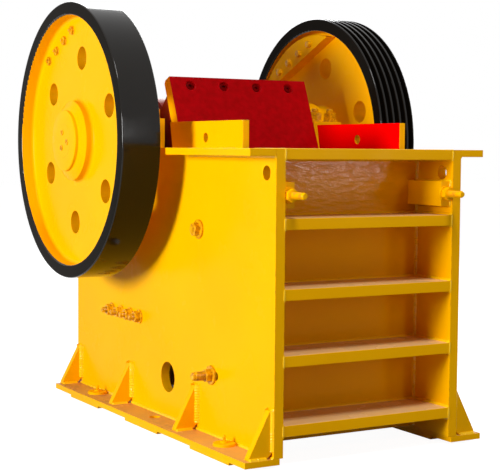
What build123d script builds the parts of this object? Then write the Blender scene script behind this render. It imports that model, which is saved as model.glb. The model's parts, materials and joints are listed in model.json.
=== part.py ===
from build123d import *
from math import acos, atan2, cos, hypot, radians, sin, tan
import os

# Single-toggle jaw crusher, welded plate frame, 400 by 600 class, millimetres.
# +Z is up and the front wall faces -Y. The flywheel is at -X, the belt sheave at +X.
# The origin is the centre of the foundation bolt pattern, at the underside of the pads.

# Welded frame
INNER_WIDTH = 660.0         # between the side plates
SIDE_T = 34.0
FRAME_LENGTH = 1592.0
FRAME_HEIGHT = 977.0        # side plates alone
REAR_CELL_MORE = 59.0       # cell behind the rear wall, deeper than the one before the front wall
BASE_FLANGE_T = 20.0
PAD_T = 12.0
BOLT_SETBACK = 770.0        # front edge of the frame to the middle foundation bolts
BOLT_PITCH = 522.0          # foundation bolts, front to back
BOLT_EDGE = 63.0            # foundation bolts from the flange's outer edge
FOUNDATION_HOLE_D = 42.0
BASE_OVERHANG = 105.0       # base flange beyond the side plate
BASE_TUCK = 22.0            # base flange under the side plate
BASE_END_GAP = 14.0         # base flange stops short of the frame's rear end
PAD_INSET = 5.0
PAD_LENGTH = 272.0
TOP_OVERHANG = 95.0
TOP_FLANGE_T = 24.0
TOP_FLANGE_GAP = 7.0        # its rear end to the flywheel
GUSSET_FRONT_INSET = 23.0
GUSSET_2_AHEAD = 242.0      # of the middle foundation bolts
GUSSET_3_BEHIND = 296.0
GUSSET_REAR_INSET = 30.0
GUSSET_HEIGHT = 153.0
GUSSET_REACH = 85.0
GUSSET_T = 26.0
GUSSET_NOSE = 10.0          # blunt top and blunt outer end
GUSSET_SNIPE = 20.0         # weld relief in the inner corner
LIFT_HOLE_D = 47.0
LIFT_HOLE_SETBACK = 59.0
LIFT_HOLE_DROP = 77.0

# Front wall, rear wall and their ribs
WALL_T = 40.0
WALL_BOTTOM_GAP = 5.0
TOP_RIB_T = 34.0
RIB_T = 36.0
RIB_2_DROP = 219.0          # its top below the top of the frame
RIB_3_DROP = 442.0
RIB_4_RISE = 324.0          # its top above the underside of the side plates
RIB_5_RISE = 102.0
REAR_WALL_T = 36.0
REAR_WALL_BOTTOM = 130.0
REAR_RIB_2_DROP = 257.0
REAR_RIB_3_DROP = 507.0

# Main shaft
SHAFT_RISE = 23.0           # shaft axis above the top of the frame
JOURNAL_D = 150.0
WHEEL_SEAT_D = 140.0
COLLAR_R = 92.0             # shaft shoulder between the pitman and a housing
COLLAR_GAP = 2.0
ECCENTRIC_D = 210.0
ECCENTRICITY = 12.0
ECCENTRIC_ANGLE = -114.0    # from +Y, opposite the counterweights
RUNNING_GAP = 0.05          # radial, in the bearings

# Bearing housings
HOUSING_W = 130.0
HOUSING_OUT = 60.0          # its middle from the side plate's inner face
HOUSING_R = 165.0
HOUSING_EYE_GAP = 6.0       # housing wall to the journal
BEARING_R = 125.0
BEARING_W = 104.0
CAP_EAR_T = 84.0
CAP_FILLET = 16.0
CAP_STUD_CLEAR = 39.0       # studs from the barrel
CAP_EAR_EDGE = 40.0         # studs from the ear's end
CAP_STUD_SPREAD = 70.0
CAP_STUD_D = 30.0
CAP_STUD_END = 15.0         # stud above its nut
CAP_NUT_AF = 46.0
CAP_NUT_H = 37.0
SEAT_GUSSET_T = 24.0
SEAT_GUSSET_DROP = 190.0

# Flywheel and belt sheave
WHEEL_OUT = 617.0           # outer faces, from the middle of the machine
FLYWHEEL_R = 512.0
FLYWHEEL_W = 145.0
SHEAVE_R = 508.0
SHEAVE_W = 155.0
RIM_T = 48.0
WEB_RECESS = 53.0           # from the rim's outer face on the flywheel, its inner one on the sheave
WEB_T = 44.0
CAST_FILLET = 14.0          # web to rim and web to hub
CAST_EDGE = 5.0
HUB_R = 148.0
HUB_STEP_R = 113.0
HUB_RISE = 48.0             # hub end above the web
HUB_BEVEL = 18.0
HUB_GAP = 16.0              # bearing housing to the hub
WEB_HOLE_D = 86.0
WEB_HOLES = 6
WEB_HOLE_PITCH_R = 308.0
WEB_HOLE_PHASE = 36.0
GROOVE_PITCH = 30.0
GROOVE_DEPTH = 24.0
GROOVE_MOUTH = 22.0
GROOVE_FLOOR = 10.0
WEIGHT_DEPTH = 94.0         # counterweight, from its chord to its rim
WEIGHT_T = 46.0
WEIGHT_GAP = 2.0            # counterweight to the fillet inside the rim
END_CAP_R = 62.0
END_CAP_T = 12.0

# Jaws and cheek plates
CHEEK_T = 24.0
CHEEK_BEHIND_WALL = 35.0    # front edge behind the front wall
CHEEK_RISE = 93.0           # above the top of the frame
CHEEK_HOLE_D = 33.0
CHEEK_HOLE_BACK = 261.0     # from the cheek plate's front edge
CHEEK_HOLE_RISE = 36.0
CHEEK_BEHIND = 13.0         # rear edge behind the moving jaw's face
JAW_SIDE_GAP = 11.0         # moving jaw to each cheek plate
JAW_TILT = 22.7             # moving jaw from upright
JAW_FACE_DIST = 294.0       # eccentric's axis to the moving jaw's face
JAW_BOTTOM_Z = 60.0         # tip of the moving jaw above the underside of the side plates
DISCHARGE_GAP = 65.0        # between the jaws at that tip
TOOTH_PLATE_T = 72.0
TOOTH_HEIGHT = 24.0
TOOTH_COUNT = 12
TOOTH_FLANK = 0.36          # share of the pitch
FIXED_PLATE_T = 90.0
FIXED_PLATE_GAP = 3.0       # fixed jaw plate to each cheek plate
FIXED_PLATE_BOTTOM = 40.0
GUARD_T = 48.0
GUARD_TOP = 150.0           # along the jaw, above the eccentric's axis
GUARD_LENGTH = 345.0
GUARD_BEVEL = 10.0          # rear top edge
GUARD_PLATE_GAP = 2.0       # guard plate to the toothed plate
GUARD_BOLTS = 4
GUARD_BOLT_PITCH = 142.0
GUARD_BOLT_DROP = 35.0
SINK_D = 40.0               # countersinks of the guard plate's bolts
SINK_FLOOR_D = 24.0
SINK_DEPTH = 10.0
PITMAN_SIDE_GAP = 54.0      # pitman to each bearing housing
PITMAN_HEAD_R = 178.0
PITMAN_HEAD_CLEAR = 6.0     # head to the rear wall when the jaw is furthest back
PITMAN_WALL_T = 50.0
PITMAN_WALL_DROP = 60.0     # its top below the guard plate's
PITMAN_WALL_SLANT = 30.0
PITMAN_THROAT = 150.0       # head and wall are one down to here
PITMAN_RIB_T = 40.0
PITMAN_RIBS = 4
FOOT_AHEAD = 48.0           # rear face ahead of the toggle's front axis
FOOT_RISE = 81.0            # top above that axis, along the jaw
TOE_AHEAD = 88.0            # rear face at the jaw's tip ahead of that axis

# Toggle, its seat and the tension rod
TOGGLE_T = 36.0
TOGGLE_W = 480.0
TOGGLE_TILT = 23.5
TOGGLE_LENGTH = 330.0
TOGGLE_REAR_Z = 350.0
TOGGLE_BEHIND_FACE = 232.0  # its front axis, square to the moving jaw's face
ORBIT_GAP = 4.0             # left at the opened toggle seat when the jaw is nearest
SEAT_HALF_H = 82.0
SEAT_LIP = 28.0             # seat's front face ahead of the toggle's rear axis
SEAT_MOUTH = 34.0           # half angle of the seat's open mouth
SHIM_T = 36.0
HEEL_SIDE = 31.0            # heel's end past the toggle's
HEEL_BODY = 60.0            # metal behind the pitman's toggle slot
HEEL_COVER = 20.0           # slot's lips past the toggle's front axis
HEEL_LIP_T = 34.0
LUG_R = 38.0
LUG_T = 24.0
EYE_R = 32.0
EYE_W = 46.0
SIDE_PLAY = 3.0
GUIDE_Z = 340.0
GUIDE_H = 50.0
GUIDE_T = 30.0
GUIDE_GAP = 1.0
GUIDE_BOLT_PITCH = 84.0
GUIDE_BOLTS = 4
GUIDE_BOLT_D = 24.0
GUIDE_BOLT_SHIFT = -8.0     # bolt row from the middle of the seat block
GUIDE_BOLT_OUT = 46.0
GUIDE_WASHER_D = 52.0
GUIDE_WASHER_T = 6.0
PIN_BEHIND = 40.0           # of the toggle's front axis
PIN_BELOW = 72.0
PIN_D = 40.0
PIN_END = 8.0               # pin past each lug
ROD_D = 36.0
ROD_TILT = 8.0
ROD_IN_EYE = 4.0
ROD_NUT_AF = 55.0
ROD_NUT_H = 27.0
ROD_NUT_PITCH = 28.0
ROD_END = 70.0              # behind the spring plate
SPRING_R = 58.0
SPRING_WIRE_D = 18.0
SPRING_TURNS = 6
SPRING_LENGTH = 150.0
SPRING_PLATE_T = 14.0
SEAT_CLEAR = 0.3            # what rests on its seat without touching it
BOSS_R = 70.0
BOSS_MIN = 6.0              # least height of the tilted boss on the rear wall
ACCESS_HOLE_D = 110.0

# Clamping bolts in the top front cell
CLAMP_W = 40.0
CLAMP_H = 84.0
CLAMP_DROP = 147.0          # below the top of the frame
CLAMP_FRONT = 12.0
CLAMP_BOLT_IN = 22.0        # bolt axis from the side plate's inner face
CLAMP_BOLT_D = 24.0
CLAMP_BOLT_OUT = 92.0       # bolt end before the block
CLAMP_BOLT_HOLD = 28.0      # threaded into the wall
CLAMP_NUT_AF = 36.0
CLAMP_NUT_H = 22.0

# Liner bolts through the side plates, set back from the cheek plates' front edge
UPPER_LINER_BACK = 240.0
UPPER_LINER_Z = 698.0
UPPER_LINER_OUT = 22.0      # stud past its washer
LOWER_LINER_BACK = 143.0
LOWER_LINER_Z = 205.0
LOWER_LINER_OUT = 68.0
LOWER_LINER_SLOT = 30.0     # the side plate's hole reaches that much further forward
LINER_BOLT_D = 30.0
LINER_WASHER_D = 66.0
LINER_WASHER_T = 8.0
NUT_AF_RATIO = 1.53         # across flats, in thread diameters
NUT_H_RATIO = 0.8

HALF_IN = INNER_WIDTH / 2
HALF_OUT = HALF_IN + SIDE_T
FRONT_Y = -BOLT_SETBACK
REAR_Y = FRONT_Y + FRAME_LENGTH
UNDER_Z = PAD_T + BASE_FLANGE_T
TOP_Z = UNDER_Z + FRAME_HEIGHT
SHAFT_Z = TOP_Z + SHAFT_RISE
ECC_Z = SHAFT_Z + ECCENTRICITY * sin(radians(ECCENTRIC_ANGLE))
ECC_BEHIND_SHAFT = ECCENTRICITY * cos(radians(ECCENTRIC_ANGLE))
JAW_SLOPE = tan(radians(JAW_TILT))

# From the front wall's back to the shaft and to the rear wall
ECC_BEHIND_FACE = JAW_FACE_DIST / cos(radians(JAW_TILT)) + (ECC_Z - UNDER_Z - JAW_BOTTOM_Z) * JAW_SLOPE
SHAFT_BEHIND_WALL = FIXED_PLATE_T + DISCHARGE_GAP + ECC_BEHIND_FACE - ECC_BEHIND_SHAFT
WALL_TO_WALL = SHAFT_BEHIND_WALL + ECCENTRICITY + PITMAN_HEAD_R + PITMAN_HEAD_CLEAR
FRONT_CELL = (FRAME_LENGTH - WALL_T - WALL_TO_WALL - REAR_WALL_T - REAR_CELL_MORE) / 2

WALL_FRONT_Y = FRONT_Y + FRONT_CELL
WALL_BACK_Y = WALL_FRONT_Y + WALL_T
SHAFT_Y = WALL_BACK_Y + SHAFT_BEHIND_WALL
ECC_Y = SHAFT_Y + ECC_BEHIND_SHAFT
REAR_WALL_Y = WALL_BACK_Y + WALL_TO_WALL
REAR_WALL_BACK_Y = REAR_WALL_Y + REAR_WALL_T
BASE_X = HALF_OUT + BASE_OVERHANG
BOLT_X = BASE_X - BOLT_EDGE
CHEEK_X = HALF_IN - CHEEK_T
CHEEK_FRONT_Y = WALL_BACK_Y + CHEEK_BEHIND_WALL
JAW_HALF_W = CHEEK_X - JAW_SIDE_GAP
HOUSING_X = HALF_IN + HOUSING_OUT
HOUSING_IN_X = HOUSING_X - HOUSING_W / 2
HOUSING_OUT_X = HOUSING_X + HOUSING_W / 2
STUD_SETBACK = HOUSING_R + CAP_STUD_CLEAR
EAR_LENGTH = STUD_SETBACK + CAP_EAR_EDGE
PITMAN_HALF_W = HOUSING_IN_X - PITMAN_SIDE_GAP
CLAMP_BOLT_X = HALF_IN - CLAMP_BOLT_IN
CLAMP_Z = TOP_Z - CLAMP_DROP
FLYWHEEL_WEB_X = WHEEL_OUT - WEB_RECESS
SHEAVE_WEB_X = WHEEL_OUT - SHEAVE_W + WEB_RECESS + WEB_T
FLYWHEEL_HUB_X = FLYWHEEL_WEB_X + HUB_RISE
SHEAVE_HUB_X = SHEAVE_WEB_X + HUB_RISE
GUARD_BOTTOM = GUARD_TOP - GUARD_LENGTH
JAW_BOTTOM = -(ECC_Z - UNDER_Z - JAW_BOTTOM_Z) / cos(radians(JAW_TILT)) - JAW_FACE_DIST * JAW_SLOPE
SIDES = (("left", -1), ("right", 1))


def jaw_face_y(z):
    """Where the moving jaw's face stands at a height."""
    return ECC_Y - JAW_FACE_DIST / cos(radians(JAW_TILT)) + (z - ECC_Z) * JAW_SLOPE


TOGGLE_RISE = TOGGLE_LENGTH * sin(radians(TOGGLE_TILT))
TOGGLE_FRONT_Z = UNDER_Z + TOGGLE_REAR_Z - TOGGLE_RISE
TOGGLE_FRONT = (jaw_face_y(TOGGLE_FRONT_Z) + TOGGLE_BEHIND_FACE / cos(radians(JAW_TILT)), TOGGLE_FRONT_Z)
TOGGLE_REAR = (TOGGLE_FRONT[0] + TOGGLE_LENGTH * cos(radians(TOGGLE_TILT)), TOGGLE_FRONT_Z + TOGGLE_RISE)
SEAT_FRONT_Y = TOGGLE_REAR[0] - SEAT_LIP
SEAT_BACK_Y = REAR_WALL_Y - SHIM_T
GUIDE_AXIS_Z = UNDER_Z + GUIDE_Z
PIN_AXIS_Y = TOGGLE_FRONT[0] + PIN_BEHIND
PIN_AXIS_Z = TOGGLE_FRONT[1] - PIN_BELOW
PIN_HALF_L = EYE_W / 2 + SIDE_PLAY + LUG_T + PIN_END
SPRING_START = ((REAR_WALL_BACK_Y - PIN_AXIS_Y + BOSS_MIN) / cos(radians(ROD_TILT))
                + BOSS_R * tan(radians(ROD_TILT)))


def orbit_reach(direction):
    """How far the jaw travels from rest along a direction given in degrees from +Y."""
    return ECCENTRICITY * (1 - cos(radians(ECCENTRIC_ANGLE - direction)))


ORBIT_UP = orbit_reach(90.0)
ORBIT_DOWN = orbit_reach(-90.0)
ORBIT_FRONT = orbit_reach(180.0)


def block(x0, x1, y0, y1, z0, z1):
    size = (abs(x1 - x0), abs(y1 - y0), abs(z1 - z0))
    return Pos((x0 + x1) / 2, (y0 + y1) / 2, (z0 + z1) / 2) * Box(*size)


def rod_x(radius, x0, x1, y, z):
    return Pos((x0 + x1) / 2, y, z) * Rot(0, 90, 0) * Cylinder(radius, abs(x1 - x0))


def rod_y(radius, x, y0, y1, z):
    return Pos(x, (y0 + y1) / 2, z) * Rot(90, 0, 0) * Cylinder(radius, abs(y1 - y0))


def rod_z(radius, x, y, z0, z1):
    return Pos(x, y, (z0 + z1) / 2) * Cylinder(radius, abs(z1 - z0))


def extrude_x(sketch, x0, x1):
    """A sketch, drawn with Y across and Z up, extruded from x0 to x1."""
    return extrude(Plane.YZ.offset(min(x0, x1)) * sketch, abs(x1 - x0))


def prism_x(outline, x0, x1):
    """A closed outline of (y, z) points, extruded from x0 to x1."""
    return extrude_x(make_face(Polyline(*outline, close=True)), x0, x1)


def nut(across_flats, height):
    """A hexagonal nut or bolt head on the XY plane, its axis along +Z."""
    return extrude(RegularPolygon(across_flats / 2, 6, major_radius=False), height)


# Frame

def side_plate(sign):
    inner, outer = sign * HALF_IN, sign * HALF_OUT
    slot = SlotCenterToCenter(LOWER_LINER_SLOT, LINER_BOLT_D)
    slot_y = CHEEK_FRONT_Y + LOWER_LINER_BACK - LOWER_LINER_SLOT / 2
    cuts = [
        rod_x(HOUSING_R, inner, outer, SHAFT_Y, SHAFT_Z),
        rod_x(LIFT_HOLE_D / 2, inner, outer, FRONT_Y + LIFT_HOLE_SETBACK, TOP_Z - LIFT_HOLE_DROP),
        rod_x(ACCESS_HOLE_D / 2, inner, outer, PIN_AXIS_Y, PIN_AXIS_Z),
        rod_x(LINER_BOLT_D / 2, inner, outer, CHEEK_FRONT_Y + UPPER_LINER_BACK, UNDER_Z + UPPER_LINER_Z),
        extrude_x(Pos(slot_y, UNDER_Z + LOWER_LINER_Z) * slot, inner, outer),
    ]
    for y in guide_bolt_ys():
        cuts.append(rod_x(GUIDE_BOLT_D / 2, inner, outer, y, GUIDE_AXIS_Z))
    return block(inner, outer, FRONT_Y, REAR_Y, UNDER_Z, TOP_Z) - cuts


def guide_bolt_ys():
    middle = (SEAT_FRONT_Y + SEAT_BACK_Y) / 2 + GUIDE_BOLT_SHIFT
    return [middle + (i - (GUIDE_BOLTS - 1) / 2) * GUIDE_BOLT_PITCH for i in range(GUIDE_BOLTS)]


def foundation_ys():
    return (-BOLT_PITCH, 0.0, BOLT_PITCH)


def base_flange(sign):
    inner = HALF_OUT - BASE_TUCK
    flange = block(sign * inner, sign * BASE_X, FRONT_Y, REAR_Y - BASE_END_GAP, PAD_T, UNDER_Z)
    holes = [rod_z(FOUNDATION_HOLE_D / 2, sign * BOLT_X, y, PAD_T, UNDER_Z) for y in foundation_ys()]
    return flange - holes


def base_pads(sign):
    pads = []
    for y in foundation_ys():
        pad = block(sign * (HALF_OUT - BASE_TUCK), sign * (BASE_X - PAD_INSET),
                    y - PAD_LENGTH / 2, y + PAD_LENGTH / 2, 0, PAD_T)
        pads.append(pad - rod_z(FOUNDATION_HOLE_D / 2, sign * BOLT_X, y, 0, PAD_T))
    return pads


def gusset_ys():
    return (FRONT_Y + GUSSET_FRONT_INSET, -GUSSET_2_AHEAD, GUSSET_3_BEHIND, REAR_Y - GUSSET_REAR_INSET)


def upright_plates(sign, outline, thickness, middles):
    """Equal plates square to the side plate, from a profile of (x, z) points."""
    face = make_face(Polyline(*[(sign * x, z) for x, z in outline], close=True))
    return [extrude(Plane.XZ.offset(thickness / 2 - y) * face, -thickness) for y in middles]


def gussets(sign):
    outline = [
        (HALF_OUT + GUSSET_SNIPE, UNDER_Z),
        (HALF_OUT + GUSSET_REACH, UNDER_Z),
        (HALF_OUT + GUSSET_REACH, UNDER_Z + GUSSET_NOSE),
        (HALF_OUT + GUSSET_NOSE, UNDER_Z + GUSSET_HEIGHT),
        (HALF_OUT, UNDER_Z + GUSSET_HEIGHT),
        (HALF_OUT, UNDER_Z + GUSSET_SNIPE),
    ]
    return upright_plates(sign, outline, GUSSET_T, gusset_ys())


def top_flange(sign):
    return block(sign * HALF_OUT, sign * (HALF_OUT + TOP_OVERHANG),
                 FRONT_Y, SHAFT_Y - FLYWHEEL_R - TOP_FLANGE_GAP, TOP_Z - TOP_FLANGE_T, TOP_Z)


def front_wall():
    wall = block(-HALF_IN, HALF_IN, WALL_FRONT_Y, WALL_BACK_Y, UNDER_Z + WALL_BOTTOM_GAP, TOP_Z)
    holes = [rod_y(CLAMP_BOLT_D / 2, sign * CLAMP_BOLT_X, WALL_FRONT_Y,
                   WALL_FRONT_Y + CLAMP_BOLT_HOLD, CLAMP_Z) for _, sign in SIDES]
    return wall - holes


def front_rib_tops():
    return (TOP_Z, TOP_Z - RIB_2_DROP, TOP_Z - RIB_3_DROP, UNDER_Z + RIB_4_RISE, UNDER_Z + RIB_5_RISE)


def front_rib(top, thickness):
    return block(-HALF_IN, HALF_IN, FRONT_Y, WALL_FRONT_Y, top - thickness, top)


def clamp_block(sign):
    body = block(sign * (HALF_IN - CLAMP_W), sign * HALF_IN, FRONT_Y + CLAMP_FRONT, WALL_FRONT_Y,
                 CLAMP_Z - CLAMP_H / 2, CLAMP_Z + CLAMP_H / 2)
    return body - rod_y(CLAMP_BOLT_D / 2, sign * CLAMP_BOLT_X, FRONT_Y, WALL_FRONT_Y, CLAMP_Z)


def clamp_bolt(sign):
    face_y = FRONT_Y + CLAMP_FRONT
    rod = rod_y(CLAMP_BOLT_D / 2, sign * CLAMP_BOLT_X, face_y - CLAMP_BOLT_OUT,
                WALL_FRONT_Y + CLAMP_BOLT_HOLD, CLAMP_Z)
    return rod + Pos(sign * CLAMP_BOLT_X, face_y, CLAMP_Z) * Rot(90, 0, 0) * nut(CLAMP_NUT_AF, CLAMP_NUT_H)


def rod_axis_z(y):
    return PIN_AXIS_Z + (y - PIN_AXIS_Y) * tan(radians(ROD_TILT))


def in_rod_frame(shape):
    """Places a shape built about the rod's pin, the rod running along +Y."""
    return Pos(0, PIN_AXIS_Y, PIN_AXIS_Z) * Rot(ROD_TILT, 0, 0) * shape


def rear_wall():
    """Plate between the side plates, with a slotted boss that seats the spring."""
    wall = block(-HALF_IN, HALF_IN, REAR_WALL_Y, REAR_WALL_BACK_Y, UNDER_Z + REAR_WALL_BOTTOM, TOP_Z)
    boss_back = SPRING_START * cos(radians(ROD_TILT)) + PIN_AXIS_Y + BOSS_R
    behind = block(-BOSS_R, BOSS_R, REAR_WALL_BACK_Y, boss_back, UNDER_Z, TOP_Z)
    wall += in_rod_frame(rod_y(BOSS_R, 0, 0, SPRING_START, 0)) & behind
    half = ROD_D / 2 + ORBIT_GAP
    low = rod_axis_z(REAR_WALL_Y) - ORBIT_DOWN
    high = rod_axis_z(boss_back) + ORBIT_UP
    slot = block(-half, half, REAR_WALL_Y, boss_back, low, high)
    for z in (low, high):
        slot += rod_y(half, 0, REAR_WALL_Y, boss_back, z)
    return wall - slot


def rear_rib_tops():
    return (TOP_Z, TOP_Z - REAR_RIB_2_DROP, TOP_Z - REAR_RIB_3_DROP)


def rear_rib(top):
    return block(-HALF_IN, HALF_IN, REAR_WALL_BACK_Y, REAR_Y, top - RIB_T, top)


# Bearings and their housings, from profiles drawn about the shaft axis

def on_housing(sign, profile):
    return extrude_x(Pos(SHAFT_Y, SHAFT_Z) * profile, sign * HOUSING_IN_X, sign * HOUSING_OUT_X)


def half_barrel(direction):
    return Circle(HOUSING_R) & Pos(0, direction * HOUSING_R / 2) * Rectangle(2 * HOUSING_R, HOUSING_R)


def ears(low, high):
    return Pos(0, (low + high) / 2) * Rectangle(2 * EAR_LENGTH, high - low)


def bearing_room(sign):
    return rod_x(BEARING_R, sign * (HOUSING_X - BEARING_W / 2), sign * (HOUSING_X + BEARING_W / 2),
                 SHAFT_Y, SHAFT_Z)


def housing_bore(sign):
    eye = rod_x(JOURNAL_D / 2 + HOUSING_EYE_GAP, sign * HOUSING_IN_X, sign * HOUSING_OUT_X, SHAFT_Y, SHAFT_Z)
    return [bearing_room(sign), eye]


def stud_places(sign):
    return [(sign * (HOUSING_X + i * CAP_STUD_SPREAD / 2), SHAFT_Y + j * STUD_SETBACK)
            for i in (-1, 1) for j in (-1, 1)]


def bearing_seat(sign):
    seat = on_housing(sign, half_barrel(-1) + ears(-SHAFT_RISE, 0)) - housing_bore(sign)
    return seat - [rod_z(CAP_STUD_D / 2, x, y, TOP_Z, SHAFT_Z) for x, y in stud_places(sign)]


def bearing_cap(sign):
    """Half barrel with two thick ears, rounded where the barrel leaves them."""
    profile = half_barrel(1) + ears(0, CAP_EAR_T)
    corners = [v for v in profile.vertices() if abs(v.Y - CAP_EAR_T) < 0.01 and abs(v.X) < HOUSING_R]
    cap = on_housing(sign, fillet(corners, CAP_FILLET)) - housing_bore(sign)
    holes = [rod_z(CAP_STUD_D / 2, x, y, SHAFT_Z, SHAFT_Z + CAP_EAR_T) for x, y in stud_places(sign)]
    return cap - holes


def cap_bolts(sign):
    ear_top = SHAFT_Z + CAP_EAR_T
    bolts = []
    for x, y in stud_places(sign):
        shank = rod_z(CAP_STUD_D / 2, x, y, TOP_Z, ear_top + CAP_NUT_H + CAP_STUD_END)
        bolts.append(shank + Pos(x, y, ear_top) * nut(CAP_NUT_AF, CAP_NUT_H))
    return bolts


def bearing(sign):
    return bearing_room(sign) - rod_x(JOURNAL_D / 2 + RUNNING_GAP, sign * HOUSING_IN_X,
                                      sign * HOUSING_OUT_X, SHAFT_Y, SHAFT_Z)


def seat_gussets(sign):
    """Plates that carry the housing's overhang on the outside of the side plate."""
    outline = [(HALF_OUT, TOP_Z), (HOUSING_OUT_X, TOP_Z), (HOUSING_OUT_X, TOP_Z - GUSSET_NOSE),
               (HALF_OUT + GUSSET_NOSE, TOP_Z - SEAT_GUSSET_DROP), (HALF_OUT, TOP_Z - SEAT_GUSSET_DROP)]
    return upright_plates(sign, outline, SEAT_GUSSET_T, (SHAFT_Y - STUD_SETBACK, SHAFT_Y + STUD_SETBACK))


# Rotor

def eccentric_shaft():
    """Wheel seats, journals, shoulders and the eccentric, from the ends inwards."""
    shaft = rod_x(JOURNAL_D / 2, -HOUSING_OUT_X, HOUSING_OUT_X, SHAFT_Y, SHAFT_Z)
    shaft += rod_x(ECCENTRIC_D / 2, -PITMAN_HALF_W, PITMAN_HALF_W, ECC_Y, ECC_Z)
    for sign, end in ((-1, FLYWHEEL_HUB_X), (1, SHEAVE_HUB_X)):
        shaft += rod_x(WHEEL_SEAT_D / 2, sign * HOUSING_OUT_X, sign * end, SHAFT_Y, SHAFT_Z)
        shaft += rod_x(COLLAR_R, sign * (PITMAN_HALF_W + COLLAR_GAP), sign * (HOUSING_IN_X - COLLAR_GAP),
                       SHAFT_Y, SHAFT_Z)
    return shaft


def web_holes(sign, web_x):
    holes = []
    for i in range(WEB_HOLES):
        angle = radians(WEB_HOLE_PHASE + 360 / WEB_HOLES * i)
        holes.append(rod_x(WEB_HOLE_D / 2, sign * (web_x - WEB_T), sign * web_x,
                           SHAFT_Y + WEB_HOLE_PITCH_R * cos(angle),
                           SHAFT_Z + WEB_HOLE_PITCH_R * sin(angle)))
    return holes


def wheel(sign, radius, width, web_x, grooves):
    """Rim, web and hub turned about the shaft, from (x, radius, corner radius) points."""
    inner = WHEEL_OUT - width
    rim_in = radius - RIM_T
    hub_in = HOUSING_OUT_X + HUB_GAP
    hub_out = web_x + HUB_RISE
    section = [
        (hub_in, WHEEL_SEAT_D / 2, 0),
        (hub_in, HUB_R, CAST_EDGE),
        (web_x - WEB_T, HUB_R, CAST_FILLET),
        (web_x - WEB_T, rim_in, CAST_FILLET),
        (inner, rim_in, CAST_EDGE),
        (inner, radius, CAST_EDGE),
        *grooves,
        (WHEEL_OUT, radius, CAST_EDGE),
        (WHEEL_OUT, rim_in, CAST_EDGE),
        (web_x, rim_in, CAST_FILLET),
        (web_x, HUB_R, CAST_FILLET),
        (hub_out - HUB_BEVEL, HUB_R, 0),
        (hub_out, HUB_STEP_R, 0),
        (hub_out, WHEEL_SEAT_D / 2, 0),
    ]
    points = [(sign * x, r) for x, r, _ in section]
    outline = FilletPolyline(*points, radius=[corner for _, _, corner in section], close=True)
    turned = Pos(0, SHAFT_Y, SHAFT_Z) * revolve(make_face(outline), Axis.X)
    return turned - web_holes(sign, web_x)


def belt_grooves():
    """Points of the grooves across the sheave's rim, as many as its width takes."""
    room = SHEAVE_W - 2 * CAST_EDGE - GROOVE_MOUTH
    count = int(room / GROOVE_PITCH) + 1
    first = WHEEL_OUT - SHEAVE_W / 2 - (count - 1) / 2 * GROOVE_PITCH
    points = []
    for i in range(count):
        x = first + i * GROOVE_PITCH
        points += [(x - GROOVE_MOUTH / 2, SHEAVE_R, 0), (x - GROOVE_FLOOR / 2, SHEAVE_R - GROOVE_DEPTH, 0),
                   (x + GROOVE_FLOOR / 2, SHEAVE_R - GROOVE_DEPTH, 0), (x + GROOVE_MOUTH / 2, SHEAVE_R, 0)]
    return points


def counterweight(sign, wheel_radius, web_x):
    """A segment of a disc inside the rim, on the web's inner side, opposite the eccentric."""
    radius = wheel_radius - RIM_T - CAST_FILLET - WEIGHT_GAP
    keep = Pos(radius - WEIGHT_DEPTH / 2, 0) * Rectangle(WEIGHT_DEPTH, 2 * radius)
    segment = Rot(0, 0, 180.0 + ECCENTRIC_ANGLE) * (Circle(radius) & keep)
    web_in = web_x - WEB_T
    return extrude_x(Pos(SHAFT_Y, SHAFT_Z) * segment, sign * (web_in - WEIGHT_T), sign * web_in)


def shaft_end_caps():
    return [rod_x(END_CAP_R, sign * end, sign * (end + END_CAP_T), SHAFT_Y, SHAFT_Z)
            for sign, end in ((-1, FLYWHEEL_HUB_X), (1, SHEAVE_HUB_X))]


# Swing jaw, built upright about the eccentric's axis and then tilted

def tilted(shape):
    return Pos(0, ECC_Y, ECC_Z) * Rot(-JAW_TILT, 0, 0) * shape


def to_jaw(y, z):
    """A point of the machine in the jaw's own upright frame."""
    turn = radians(JAW_TILT)
    back, up = y - ECC_Y, z - ECC_Z
    return back * cos(turn) - up * sin(turn), back * sin(turn) + up * cos(turn)


def tangent_point(y, z, radius):
    """Where a line from a point touches a circle about the eccentric's axis, on the rear side."""
    angle = atan2(z, y) + acos(radius / hypot(y, z))
    return radius * cos(angle), radius * sin(angle)


def toothed_plate(half_width, back, thickness, low, high):
    """A plate with upright V-shaped ribs, its back at y = back and its tips towards -Y."""
    root = back - (thickness - TOOTH_HEIGHT)
    tip = back - thickness
    pitch = 2 * half_width / TOOTH_COUNT
    outline = [(-half_width, back), (half_width, back)]
    for i in range(TOOTH_COUNT):
        x = half_width - i * pitch
        outline += [(x, root), (x - pitch * TOOTH_FLANK, tip), (x - pitch * (1 - TOOTH_FLANK), tip)]
    outline.append((-half_width, root))
    face = make_face(Polyline(*outline, close=True))
    return extrude(Plane.XY.offset(low) * face, high - low)


def swing_tooth_plate():
    plate = toothed_plate(JAW_HALF_W, -(JAW_FACE_DIST - TOOTH_PLATE_T), TOOTH_PLATE_T,
                          JAW_BOTTOM, GUARD_BOTTOM - GUARD_PLATE_GAP)
    return tilted(plate)


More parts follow.
